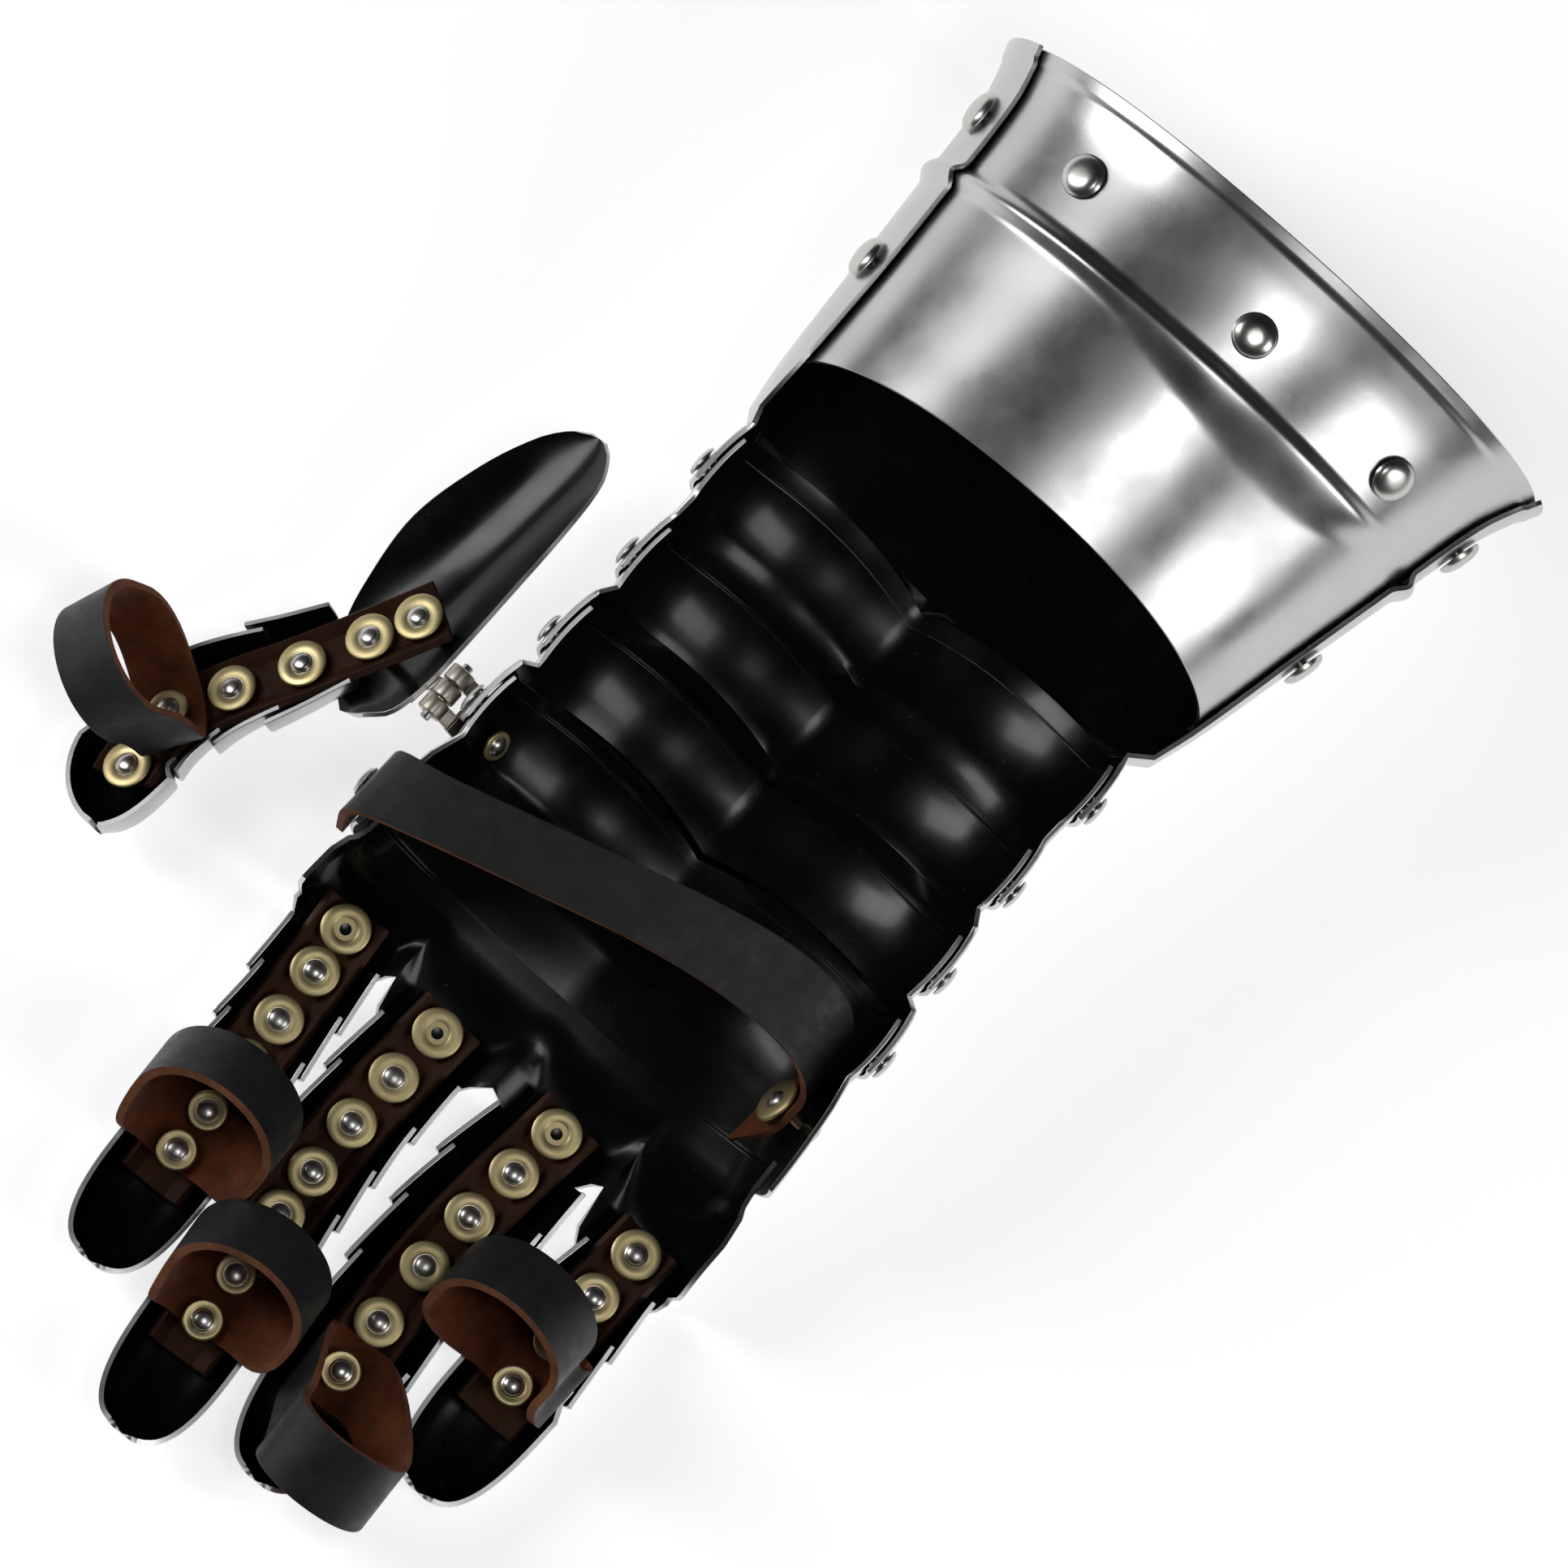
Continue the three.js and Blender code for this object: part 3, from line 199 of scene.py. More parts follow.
# Cuff rivets as (name, y, degrees above the equator).
SEAM_RIVETS = [("seam_rivet_thumb_1", 128, 167), ("seam_rivet_thumb_2", 84, 167),
               ("seam_rivet_little_1", 127, 2), ("seam_rivet_little_2", 82, 2)]
RIM_RIVETS = [("rim_rivet_1", 128, 128), ("rim_rivet_2", 125, 85), ("rim_rivet_3", 124, 45)]

# Where the part's frame is, from its hinge pin, whose axis is at HINGE.
_low, _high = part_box("hinge_pin")
SHIFT = Vector(((_low[0] + _high[0]) / 2 / MM - HINGE["x"],
                (_low[1] + _high[1]) / 2 / MM - HINGE["y"], 0))


# ---- helpers ------------------------------------------------------------------

def vec(x, y, z):
    return Vector((x, y, z))


def lerp(a, b, t):
    return a + (b - a) * t


def clamp(v, low=0.0, high=1.0):
    return max(low, min(high, v))


def smooth(v, low=0.0, high=1.0):
    t = clamp((v - low) / (high - low))
    return t * t * (3 - 2 * t)


def spread(low, high, count):
    return [lerp(low, high, i / (count - 1)) for i in range(count)]


def at(rows, y):
    """Each column of a table at station y, on a smooth curve through its rows."""
    rows = sorted(rows, key=lambda row: row["y"])
    above = next((i for i, row in enumerate(rows) if row["y"] >= y), len(rows) - 1)
    k = max(above, 1)
    low, high = rows[k - 1], rows[k]
    before, after = rows[max(k - 2, 0)], rows[min(k + 1, len(rows) - 1)]
    span = high["y"] - low["y"]
    t = clamp((y - low["y"]) / span)
    out = {}
    for key in low:
        if key == "y":
            continue
        slope_low = (high[key] - before[key]) / (high["y"] - before["y"]) * span
        slope_high = (after[key] - low[key]) / (after["y"] - low["y"]) * span
        a = 2 * t ** 3 - 3 * t ** 2 + 1
        b = t ** 3 - 2 * t ** 2 + t
        c = t ** 3 - t ** 2
        out[key] = a * low[key] + b * slope_low + (1 - a) * high[key] + c * slope_high
    return out


def sheet(rows, thickness, closed=False, mats=(0, 1, 2)):
    """A sheet under a grid of points: its outside, inside and edge take mats."""
    n, m = len(rows), len(rows[0])

    def normal(i, j):
        up = rows[(i - 1) % n] if closed else rows[max(i - 1, 0)]
        down = rows[(i + 1) % n] if closed else rows[min(i + 1, n - 1)]
        across = rows[i][min(j + 1, m - 1)] - rows[i][max(j - 1, 0)]
        return across.cross(down[j] - up[j]).normalized()

    verts = [p.copy() for row in rows for p in row]
    verts += [rows[i][j] - normal(i, j) * thickness for i in range(n) for j in range(m)]
    faces, kinds = [], []

    def outer(i, j):
        return (i % n) * m + j

    def inner(i, j):
        return n * m + (i % n) * m + j

    def quad(kind, *corners):
        faces.append(corners)
        kinds.append(mats[kind])

    for i in range(n if closed else n - 1):
        for j in range(m - 1):
            quad(0, outer(i, j), outer(i, j + 1), outer(i + 1, j + 1), outer(i + 1, j))
            quad(1, inner(i, j), inner(i + 1, j), inner(i + 1, j + 1), inner(i, j + 1))
        quad(2, outer(i, 0), outer(i + 1, 0), inner(i + 1, 0), inner(i, 0))
        quad(2, outer(i + 1, m - 1), outer(i, m - 1), inner(i, m - 1), inner(i + 1, m - 1))
    if not closed:
        for j in range(m - 1):
            quad(2, outer(0, j + 1), outer(0, j), inner(0, j), inner(0, j + 1))
            quad(2, outer(n - 1, j), outer(n - 1, j + 1), inner(n - 1, j + 1), inner(n - 1, j))
    return verts, faces, kinds


def profile(rows, by, mat):
    """Rows of (radius, height), moved up by a height and given a material."""
    return [(r, z + by, mat) for r, z in rows]


def turned(rows, point, direction, sides=28):
    """A solid turned round an axis through point, from (radius, height, material) rows."""
    turn = vec(0, 0, 1).rotation_difference(direction.normalized()).to_matrix()
    verts, faces, kinds = [], [], []
    rings = []
    for r, z, _ in rows:
        if r == 0:
            rings.append([len(verts)])
            verts.append(point + turn @ vec(0, 0, z))
            continue
        rings.append(list(range(len(verts), len(verts) + sides)))
        for k in range(sides):
            t = 2 * math.pi * k / sides
            verts.append(point + turn @ vec(r * math.cos(t), r * math.sin(t), z))
    for low, high, row in zip(rings, rings[1:], rows[1:]):
        for k in range(sides):
            k2 = (k + 1) % sides
            if len(low) == 1:
                faces.append((low[0], high[k2], high[k]))
            elif len(high) == 1:
                faces.append((low[k], low[k2], high[0]))
            else:
                faces.append((low[k], low[k2], high[k2], high[k]))
            kinds.append(row[2])
    return verts, faces, kinds


BODY_OF = {node: body for body, nodes in RECORD["behaviour"]["bodies"].items() for node in nodes}
THUMB_FRAME = (Matrix.Translation(vec(HINGE["x"], 0, HINGE["z"]))
               @ Matrix.Rotation(-math.radians(THUMB_SLOPE), 4, "Y"))
BEVEL = 0.25
BEVEL_ANGLE, SHARP_ANGLE = 40, 55


def piece(node, parts, materials, where=None, bevel=BEVEL):
    """One visible piece that stands for a node of the part."""
    verts, faces, kinds = [], [], []
    for v, f, k in parts:
        base = len(verts)
        verts += v
        faces += [tuple(base + i for i in face) for face in f]
        kinds += k
    if where:
        verts = [where @ v for v in verts]
    mesh = bpy.data.meshes.new(node)
    mesh.from_pydata([(v + SHIFT) * MM for v in verts], [], faces)
    mesh.validate()
    for material in materials:
        mesh.materials.append(material)
    mesh.polygons.foreach_set("material_index", kinds)
    mesh.polygons.foreach_set("use_smooth", [True] * len(kinds))
    mesh.update()
    obj = bpy.data.objects.new(node + "_look", mesh)
    bpy.context.scene.collection.objects.link(obj)
    if bevel:
        mod = obj.modifiers.new("rounded edges", "BEVEL")
        mod.width = bevel * MM
        mod.segments = 2
        mod.limit_method = "ANGLE"
        mod.angle_limit = math.radians(BEVEL_ANGLE)
    obj.data.set_sharp_from_angle(angle=math.radians(SHARP_ANGLE))
    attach(obj, BODY_OF[node])
    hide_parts(node)
    return obj


# ---- materials ------------------------------------------------------------------

COAT_ROUGH = 0.12


def material(name, color, rough, metal=0.0, coat=0.0, spec=0.5):
    made = bpy.data.materials.new(name)
    made.use_nodes = True
    tree = made.node_tree
    shader = tree.nodes["Principled BSDF"]
    shader.inputs["Base Color"].default_value = (*color, 1)
    shader.inputs["Roughness"].default_value = rough
    shader.inputs["Metallic"].default_value = metal
    shader.inputs["Coat Weight"].default_value = coat
    shader.inputs["Coat Roughness"].default_value = COAT_ROUGH
    shader.inputs["Specular IOR Level"].default_value = spec
    return made, tree, shader


def noise(tree, scale, detail=4.0, roughness=0.5, stretch=(1, 1, 1)):
    """A noise texture over the object, scale in features per metre."""
    coords = tree.nodes.new("ShaderNodeTexCoord")
    mapping = tree.nodes.new("ShaderNodeMapping")
    mapping.inputs["Scale"].default_value = stretch
    texture = tree.nodes.new("ShaderNodeTexNoise")
    texture.inputs["Scale"].default_value = scale
    texture.inputs["Detail"].default_value = detail
    texture.inputs["Roughness"].default_value = roughness
    tree.links.new(coords.outputs["Object"], mapping.inputs["Vector"])
    tree.links.new(mapping.outputs["Vector"], texture.inputs["Vector"])
    return texture.outputs["Fac"]


def ranged(tree, value, low, high, from_low=0.3, from_high=0.7):
    """The value, from one range to another."""
    node = tree.nodes.new("ShaderNodeMapRange")
    node.inputs["From Min"].default_value = from_low
    node.inputs["From Max"].default_value = from_high
    node.inputs["To Min"].default_value = low
    node.inputs["To Max"].default_value = high
    tree.links.new(value, node.inputs["Value"])
    return node.outputs["Result"]


def mixed(tree, value, first, second):
    """The colour between first and second at value."""
    node = tree.nodes.new("ShaderNodeMix")
    node.data_type = "RGBA"
    node.inputs[6].default_value = (*first, 1)
    node.inputs[7].default_value = (*second, 1)
    tree.links.new(value, node.inputs[0])
    return node.outputs[2]


def bumped(tree, shader, layers):
    """Bump from (value, strength, height in millimetres) layers, one over the other."""
    last = None
    for value, strength, height in layers:
        node = tree.nodes.new("ShaderNodeBump")
        node.inputs["Strength"].default_value = strength
        node.inputs["Distance"].default_value = height * MM
        tree.links.new(value, node.inputs["Height"])
        if last:
            tree.links.new(last, node.inputs["Normal"])
        last = node.outputs["Normal"]
    tree.links.new(last, shader.inputs["Normal"])


# Noise scales are in features per metre, bump heights in millimetres.
DUST = (0.07, 0.07, 0.075)
BRIGHTER = 1.12  # how much brighter the steel is in places


def steel(name, color, low, high, wave=0.6):
    """Polished metal with a roughness from low to high, and soft dents."""
    made, tree, shader = material(name, color, low, metal=1.0)
    cloud = noise(tree, 45, detail=5, roughness=0.6)
    tree.links.new(ranged(tree, cloud, low, high), shader.inputs["Roughness"])
    bright = [c * BRIGHTER for c in color]
    tint = mixed(tree, noise(tree, 18, detail=3), color, bright)
    tree.links.new(tint, shader.inputs["Base Color"])
    dents = noise(tree, 26, detail=1, roughness=0.3)
    brushed = noise(tree, 300, detail=1, roughness=0.4, stretch=(1, 0.2, 1))
    bumped(tree, shader, [(dents, wave, 1.2), (brushed, 0.04, 0.05)])
    return made


def paint(name, color, low, high):
    """Glossy paint with specks of dust."""
    made, tree, shader = material(name, color, low, coat=0.1, spec=0.3)
    cloud = noise(tree, 60, detail=5, roughness=0.65)
    tree.links.new(ranged(tree, cloud, low, high), shader.inputs["Roughness"])
    grains = noise(tree, 700, detail=2, roughness=0.8)
    specks = ranged(tree, grains, 0, 1, from_low=0.72, from_high=0.78)
    tree.links.new(mixed(tree, specks, color, DUST), shader.inputs["Base Color"])
    waves = noise(tree, 30, detail=1, roughness=0.3)
    fine = noise(tree, 1200, detail=2, roughness=0.5)
    bumped(tree, shader, [(waves, 0.35, 0.6), (fine, 0.12, 0.03)])
    return made


def hide(name, color, dark, rough, grain=900, depth=0.12, fuzz=0.0, spec=0.35):
    """Leather, mottled between color and dark."""
    made, tree, shader = material(name, color, rough, spec=spec)
    blots = ranged(tree, noise(tree, 120, detail=6, roughness=0.65), 0, 1)
    tree.links.new(mixed(tree, blots, dark, color), shader.inputs["Base Color"])
    worn = noise(tree, 200, detail=4, roughness=0.6)
    tree.links.new(ranged(tree, worn, rough - 0.08, rough + 0.12), shader.inputs["Roughness"])
    shader.inputs["Sheen Weight"].default_value = fuzz
    creases = noise(tree, 110, detail=3, roughness=0.5)
    grains = noise(tree, grain, detail=4, roughness=0.7)
    bumped(tree, shader, [(creases, 0.35, 0.35), (grains, 0.5, depth)])
    return made


POLISHED = steel("polished steel", (0.5, 0.5, 0.51), 0.24, 0.36)
EDGE = steel("bare steel edge", (0.5, 0.5, 0.51), 0.24, 0.4, wave=0.1)
RIVET = steel("rivet steel", (0.52, 0.51, 0.49), 0.22, 0.36, wave=0.9)
BLACK = paint("black paint", (0.0025, 0.0025, 0.003), 0.18, 0.3)
BRASS = steel("washer brass", (0.56, 0.47, 0.25), 0.36, 0.55, wave=0.3)
HINGE_STEEL = steel("hinge steel", (0.42, 0.39, 0.33), 0.25, 0.45, wave=0.3)
DARK = hide("dark leather", (0.022, 0.0225, 0.024), (0.012, 0.012, 0.0125), 0.48)
BROWN = hide("brown leather", (0.046, 0.015, 0.004), (0.02, 0.006, 0.0015), 0.6, spec=0.15)
SUEDE = hide("raw leather", (0.15, 0.045, 0.016), (0.06, 0.018, 0.007), 0.9,
             grain=1500, depth=0.4, fuzz=0.08, spec=0.1)
RAW = hide("cut leather edge", (0.22, 0.09, 0.045), (0.1, 0.035, 0.018), 0.8,
           grain=1500, depth=0.2, spec=0.15)
RAW_DARK = hide("strip edge", (0.07, 0.026, 0.012), (0.03, 0.011, 0.006), 0.7)
PLATE = [POLISHED, BLACK, EDGE, BRASS, RIVET]
PAINTED, WASHERED, DOMED = 1, 3, 4  # of PLATE


# ---- cuff -------------------------------------------------------------------------

WALL = spread(1, 0, 8)  # shares of a side wall's height
WALL_FOOT = -15
ARCH_END = 0.93  # share of the half width where the arch meets the walls
ACROSS = [ARCH_END * math.sin(math.radians(d)) for d in spread(90, 3, 26)]
KEEL_WIDE = 0.3  # share of the half width that the keel takes
DIP_SHAPE = 0.8
SLIDE_ROWS = 9  # in each zone where plates slide over each other


def reach_at(h, a, depth, n):
    return a * (1 - min(abs(h) / depth, 1) ** n) ** (1 / n)


def depth_at(x, a, depth, n):
    return depth * (1 - min(abs(x) / a, 1) ** n) ** (1 / n)


def arch_row(y, xc, a, depth, n, keel, thumb, little, zc=None, about=None, dip=0):
    """Points round a plate at y. About a pivot, they lie on a surface turned round it."""
    axis = about["z"] if about else zc

    def from_pivot(yy):
        return yy - about["y"] if about else 0

    def wall(side, top):
        row = []
        for f in WALL:
            h = lerp(WALL_FOOT, top, f)
            reach = reach_at(math.hypot(h, from_pivot(y)), a, depth, n)
            row.append(vec(xc + side * reach, y, axis + h))
        return row

    def over(side, f):
        yy = y
        if dip:
            yy += dip * abs(math.sin(math.pi * min(f / ARCH_END, 1))) ** DIP_SHAPE
        r = depth_at(f * a, a, depth, n) + keel * max(0, 1 - f / KEEL_WIDE)
        return vec(xc + side * f * a, yy, axis - math.sqrt(r * r - from_pivot(yy) ** 2))

    return (wall(-1, thumb) + [over(-1, f) for f in ACROSS] + [over(1, 0)]
            + [over(1, f) for f in reversed(ACROSS)] + wall(1, little)[::-1])


def slide_rows(p, inset, start, end):
    """Rows from start to end about a pivot: all plates there turn on its axis."""
    return [arch_row(p["y"] + d, p["xc"], p["a"] - inset, p["depth"] - inset, ARCH, KEEL, EAR, EAR,
                     about=p, dip=DIP)
            for d in spread(start, end, SLIDE_ROWS)]


def cuff_middle(y):
    return PIVOTS[0]["xc"] + CUFF_LEAN * (y - PIVOTS[0]["y"])


RIDGE_RIM_SIDE, RIDGE_WRIST_SIDE = 3.5, 4  # widths of the ridge's two flanks
BLADE_WIDE = 9  # how much wider the wrist side is where the ridge is drawn out
RIDGE_FADE, BLADE_FADE = 20, 35  # degrees that they take to grow from the point
BLADE_FULL, BLADE_END = 70, 118  # degrees


def ridge_at(y, blade=0.0):
    """The ridge's height: blade, from 0 to 1, draws its wrist side out."""
    wide = RIDGE_RIM_SIDE if y > CUFF_RIDGE else RIDGE_WRIST_SIDE + BLADE_WIDE * blade
    return RIDGE_HEIGHT * smooth(1 - abs(y - CUFF_RIDGE) / wide)


def cuff_point(y, degrees, inset):
    s = at(CUFF, y)
    blade = (smooth(degrees, RIDGE_POINT, RIDGE_POINT + BLADE_FADE)
             * smooth(-degrees, -BLADE_END, -BLADE_FULL))
    ridge = ridge_at(y, blade) * smooth(degrees, RIDGE_POINT, RIDGE_POINT + RIDGE_FADE)
    grow = ridge - inset
    t = math.radians(degrees)
    c, d = math.cos(t), math.sin(t)
    x = math.copysign((s["a"] + grow) * abs(c) ** (2 / s["n"]), c)
    z = math.copysign((s["depth"] + grow) * abs(d) ** (2 / s["n"]), d)
    return vec(cuff_middle(y) + x, y, s["zc"] + z)


def cuff_out(y, degrees):
    """The way out of the cuff, from points 5 mm and 3 degrees away."""
    along = cuff_point(y - 5, degrees, 0) - cuff_point(y + 5, degrees, 0)
    around = cuff_point(y, degrees + 3, 0) - cuff_point(y, degrees - 3, 0)
    return around.cross(along).normalized()


RIM_START = CUFF_END - 3.6  # where the turned rim begins
RIM_PROUD = 0.5  # how far it stands out


def rim(y):
    return RIM_PROUD * smooth(y, RIM_START - 0.5, RIM_START + 0.3)


# Closer together over the ridge and at the rim.
CUFF_STATIONS = (spread(30, 96, 20) + spread(98, 117, 23) + spread(120, 143, 8)
                 + spread(143.6, CUFF_END, 8))
BACK_GAP, PALM_GAP = 3, 6  # from a plate's shaped edge to its first straight station
PALM_COLUMNS = 97
PALM_EDGE_SHAPE = 1.3


def cuff_back():
    p = PIVOTS[0]
    rows = slide_rows(p, 0, -COVERS, COVERED + SWING)
    for y in CUFF_STATIONS:
        if y < p["y"] + COVERED + SWING + BACK_GAP:
            continue
        s = at(CUFF, y)
        grow = ridge_at(y) + rim(y)
        rows.append(arch_row(y, cuff_middle(y), s["a"] + grow, s["depth"] + grow, s["n"],
                             s["keel"], s["thumb"], s["little"], zc=s["zc"]))
    piece("cuff_back", [sheet(rows[::-1], STEEL)], PLATE)


def cuff_palm():
    rows = []
    for y in [PALM_EDGE_SIDE] + [y for y in CUFF_STATIONS if y > PALM_EDGE_MIDDLE + PALM_GAP]:
        row = []
        for angle in spread(PALM_FROM, PALM_TO, PALM_COLUMNS):
            arc = max(math.sin(math.radians(angle)), 0) ** PALM_EDGE_SHAPE
            edge = lerp(PALM_EDGE_SIDE, PALM_EDGE_MIDDLE, arc)
            place = edge if y == PALM_EDGE_SIDE else y
            row.append(cuff_point(place, angle, PALM_INSET - rim(y)))
        rows.append(row)
    piece("cuff_palm", [sheet(rows[::-1], STEEL)], PLATE)


# Rivets as (radius, height): tails from their plates' inside, heads from the outside.
CUFF_TAIL = [(0, -1.3), (2.4, -0.8), (3.4, 0), (2, 0)]
CUFF_HEAD = [(2, 0.7), (5.4, 0.7), (5.6, 1.0), (5.3, 1.7), (4.4, 2.4), (3.0, 2.85), (1.5, 3.0),
             (0, 3.0)]
CUFF_CLEAR = 1.6  # from the plates to a cuff rivet's tail
CUFF_SIDES = 32
PIVOT_TAIL = [(0, -1.2), (2.6, -0.9), (3.8, 0.2), (2.5, 0.2)]
PIVOT_HEAD = [(2.5, 0), (4.0, 0), (4.2, 0.3), (3.9, 0.8), (3.0, 1.25), (1.7, 1.5), (0, 1.6)]


def cuff_rivets():
    def rivet(node, point, out, through):
        rows = profile(CUFF_TAIL, -through - CUFF_CLEAR, 0) + profile(CUFF_HEAD, 0, 0)
        piece(node, [turned(rows, point, out, CUFF_SIDES)], [RIVET], bevel=0)

    for node, y, angle in SEAM_RIVETS:
        rivet(node, cuff_point(y, angle, 0), cuff_out(y, angle), PALM_INSET + STEEL)
    for node, y, angle in RIM_RIVETS:
        rivet(node, cuff_point(y, angle, PALM_INSET), cuff_out(y, angle), STEEL)


# ---- wrist and hand plates ----------------------------------------------------------

def pivot_rivets(p):
    rows = profile(PIVOT_TAIL, -INSET - STEEL, PAINTED) + profile(PIVOT_HEAD, TOUCH, DOMED)
    return [turned(rows, vec(p["xc"] + side * p["a"], p["y"], p["z"]), vec(side, 0, 0))
            for side in (-1, 1)]


def covered_rows(p):
    return slide_rows(p, INSET, COVERED, -COVERS - SWING)


def wrist_lame(k):
    rows = covered_rows(PIVOTS[k]) + slide_rows(PIVOTS[k + 1], 0, COVERED + SWING, -COVERS)
    return piece(f"wrist_lame_{k + 1}", [sheet(rows, STEEL)] + pivot_rivets(PIVOTS[k]), PLATE)


NOTCH_PLACE = vec(HINGE["x"] + 8, HINGE["y"] + 0.4, 29.5)
NOTCH_SIZE = (34 * MM, 20 * MM, 32 * MM)


def cut_notch(obj):
    """Cuts the last wrist plate away round the hinge's leaf."""
    bpy.ops.mesh.primitive_cube_add(size=1, location=(NOTCH_PLACE + SHIFT) * MM)
    cutter = bpy.context.object
    cutter.scale = NOTCH_SIZE
    bpy.context.view_layer.update()
    mod = obj.modifiers.new("notch", "BOOLEAN")
    mod.operation = "DIFFERENCE"
    mod.solver = "EXACT"
    mod.object = cutter
    bpy.context.view_layer.objects.active = obj
    with bpy.context.temp_override(object=obj, active_object=obj, selected_objects=[obj]):
        bpy.ops.object.modifier_move_to_index(modifier="notch", index=0)
        bpy.ops.object.modifier_apply(modifier="notch")
    bpy.data.objects.remove(cutter)


def hand_row(y):
    s = at(HAND, y)
    return arch_row(y, HAND_MIDDLE, s["a"], s["rim"] - EAR - s["bottom"], s["n"], s["keel"],
                    EAR, EAR, zc=s["rim"] - EAR)


def metacarpal():
    rows = covered_rows(PIVOTS[3])
    rows += [hand_row(y) for y in spread(METACARPAL_START, METACARPAL_END, 9)]
    piece("metacarpal_plate", [sheet(rows, STEEL)] + pivot_rivets(PIVOTS[3]), PLATE)


def wall_point(side, y, z, xc, reach):
    """A point on a side wall and the way out of it, from the wall's reach at any height."""
    out = vec(side * 2, 0, -(reach(z + 1) - reach(z - 1))).normalized()
    return vec(xc + side * reach(z), y, z), out


def hand_wall(side, y, z):
    s = at(HAND, y)
    middle = s["rim"] - EAR

    def reach(zz):
        return reach_at(middle - zz, s["a"], middle - s["bottom"], s["n"])

    return wall_point(side, y, z, HAND_MIDDLE, reach)


def under_wall(y, z):
    """The same on the thumb side of the hand plate, where the last wrist plate covers it."""
    p = PIVOTS[3]

    def reach(zz):
        far = math.hypot(zz - p["z"], y - p["y"])
        return reach_at(far, p["a"] - INSET, p["depth"] - INSET, ARCH)

    return wall_point(-1, y, z, p["xc"], reach)


# ---- fingers ------------------------------------------------------------------------

SECTION = spread(0, 180, 29)
FINGER_ARCH = 2.4
FINGER_FOOT = 0.5  # height of a finger's plates over the floor
RISE_FROM, RISE_OVER, RISE = -120, 110, 5  # and how it rises towards the tips


def finger_lift(finger, y):
    if "bottom" in finger:
        return finger["bottom"]
    t = max(0, (RISE_FROM - y) / RISE_OVER)
    return FINGER_FOOT + RISE * t * t


def on_line(finger, y):
    """The middle of a finger's plates at y, and the way across them."""
    x = at(finger["line"], y)["x"]
    slope = (at(finger["line"], y + 1)["x"] - at(finger["line"], y - 1)["x"]) / 2
    return vec(x, y, finger_lift(finger, y)), vec(1, -slope, 0).normalized()


def finger_row(finger, y, inset, across=1.0, deep=1.0):
    centre, side = on_line(finger, y)
    half = at(finger["line"], y)["half"] * across - inset
    depth = FINGER_DEEP * deep - inset
    row = []
    for degrees in SECTION:
        t = math.radians(degrees)
        s = -math.copysign(half * abs(math.cos(t)) ** (2 / FINGER_ARCH), math.cos(t))
        up = FINGER_DEEP - depth * abs(math.sin(t)) ** (2 / FINGER_ARCH)
        row.append(centre + side * s + vec(0, 0, up))
    return row


def strip_base(finger):
    return finger["inset"] + STEEL + STRIP_LIFT


def strip_top(finger):
    return strip_base(finger) + LEATHER


SUNK = 0.4  # how far a rivet's foot goes into its plate
LAME_FOOT = STEEL + FINGER_INSET * 0.4  # where a lame's rivet stands on it
EYELET = [(3.3, -0.7), (2.8, -1.0), (0, -1.1)]  # from the top of the washer
DOME = [(2.5, -0.1), (2.3, 0.5), (1.5, 0.9), (0, 1.0)]


def strip_rivet(finger, y, lift, extra=0, hollow=False):
    """A rivet through the strip, its washer, and a dome or a hollow eyelet on top."""
    washer = WASHER_ON_LOOP if extra else WASHER
    centre, _ = on_line(finger, y)
    seat = strip_top(finger) + WASHER_SEAT + extra
    top = seat + WASHER_THICK
    foot = lift - SUNK
    rows = [(0, foot), (SHAFT, foot), (SHAFT, seat), (washer - 0.2, seat), (washer, seat + 0.2),
            (washer, top - 0.3), (washer - 0.4, top), (3.1, top - 0.1), (2.9, top - 0.25)]
    rows = profile(rows, 0, WASHERED)
    rows += profile(EYELET, top, PAINTED) if hollow else profile(DOME, top, DOMED)
    return turned(rows, centre, vec(0, 0, 1))


def lame(finger, k, extra=0):
    before, rivet, after = finger["rivets"][k - 1:k + 2]
    start, end = (before + rivet) / 2 + LAP / 2, (rivet + after) / 2 - LAP / 2
    rows = [finger_row(finger, y, finger["inset"] * (y - end) / (start - end))
            for y in spread(start, end, 10)]
    return [sheet(rows, STEEL), strip_rivet(finger, rivet, LAME_FOOT, extra)]


TIP_REACH = 0.99  # how far round its end a tip is closed
TIP_POINT, THUMB_POINT = 3, 1.7  # exponents of a tip's outline: a low one is pointed
TIP_NECK = 5  # from the lap to where a tip narrows
TIP_DEEP_SHAPE = 2.6
TIP_SHALLOW = 0.42  # share of its depth that it keeps at the end


def tip(finger, start, point=TIP_POINT):
    inset = finger["inset"]
    lap = start - LAP
    full = lap - TIP_NECK
    rows = [finger_row(finger, y, inset) for y in spread(start, lap, 3)]
    rows += [finger_row(finger, y, inset * (1 - (lap - y) / (lap - full)))
             for y in spread(lap, full, 8)[1:]]
    length = full - finger["end"]
    for f in [math.sin(math.radians(d)) for d in spread(4, 90, 24)]:
        reach = f * TIP_REACH
        across = (1 - reach ** point) ** (1 / point)
        deep = (1 - reach ** TIP_DEEP_SHAPE) ** (1 / TIP_DEEP_SHAPE)
        rows.append(finger_row(finger, full - f * length, 0, across, max(deep, TIP_SHALLOW)))
    return sheet(rows, STEEL)


def strip_row(finger, y):
    centre, side = on_line(finger, y)
    row = []
    for s in spread(-STRIP_HALF, STRIP_HALF, 15):
        edge = max(0, abs(s) - STRIP_FLAT) / (STRIP_HALF - STRIP_FLAT)
        row.append(centre + side * s + vec(0, 0, strip_base(finger) + STRIP_CURL * edge))
    return row


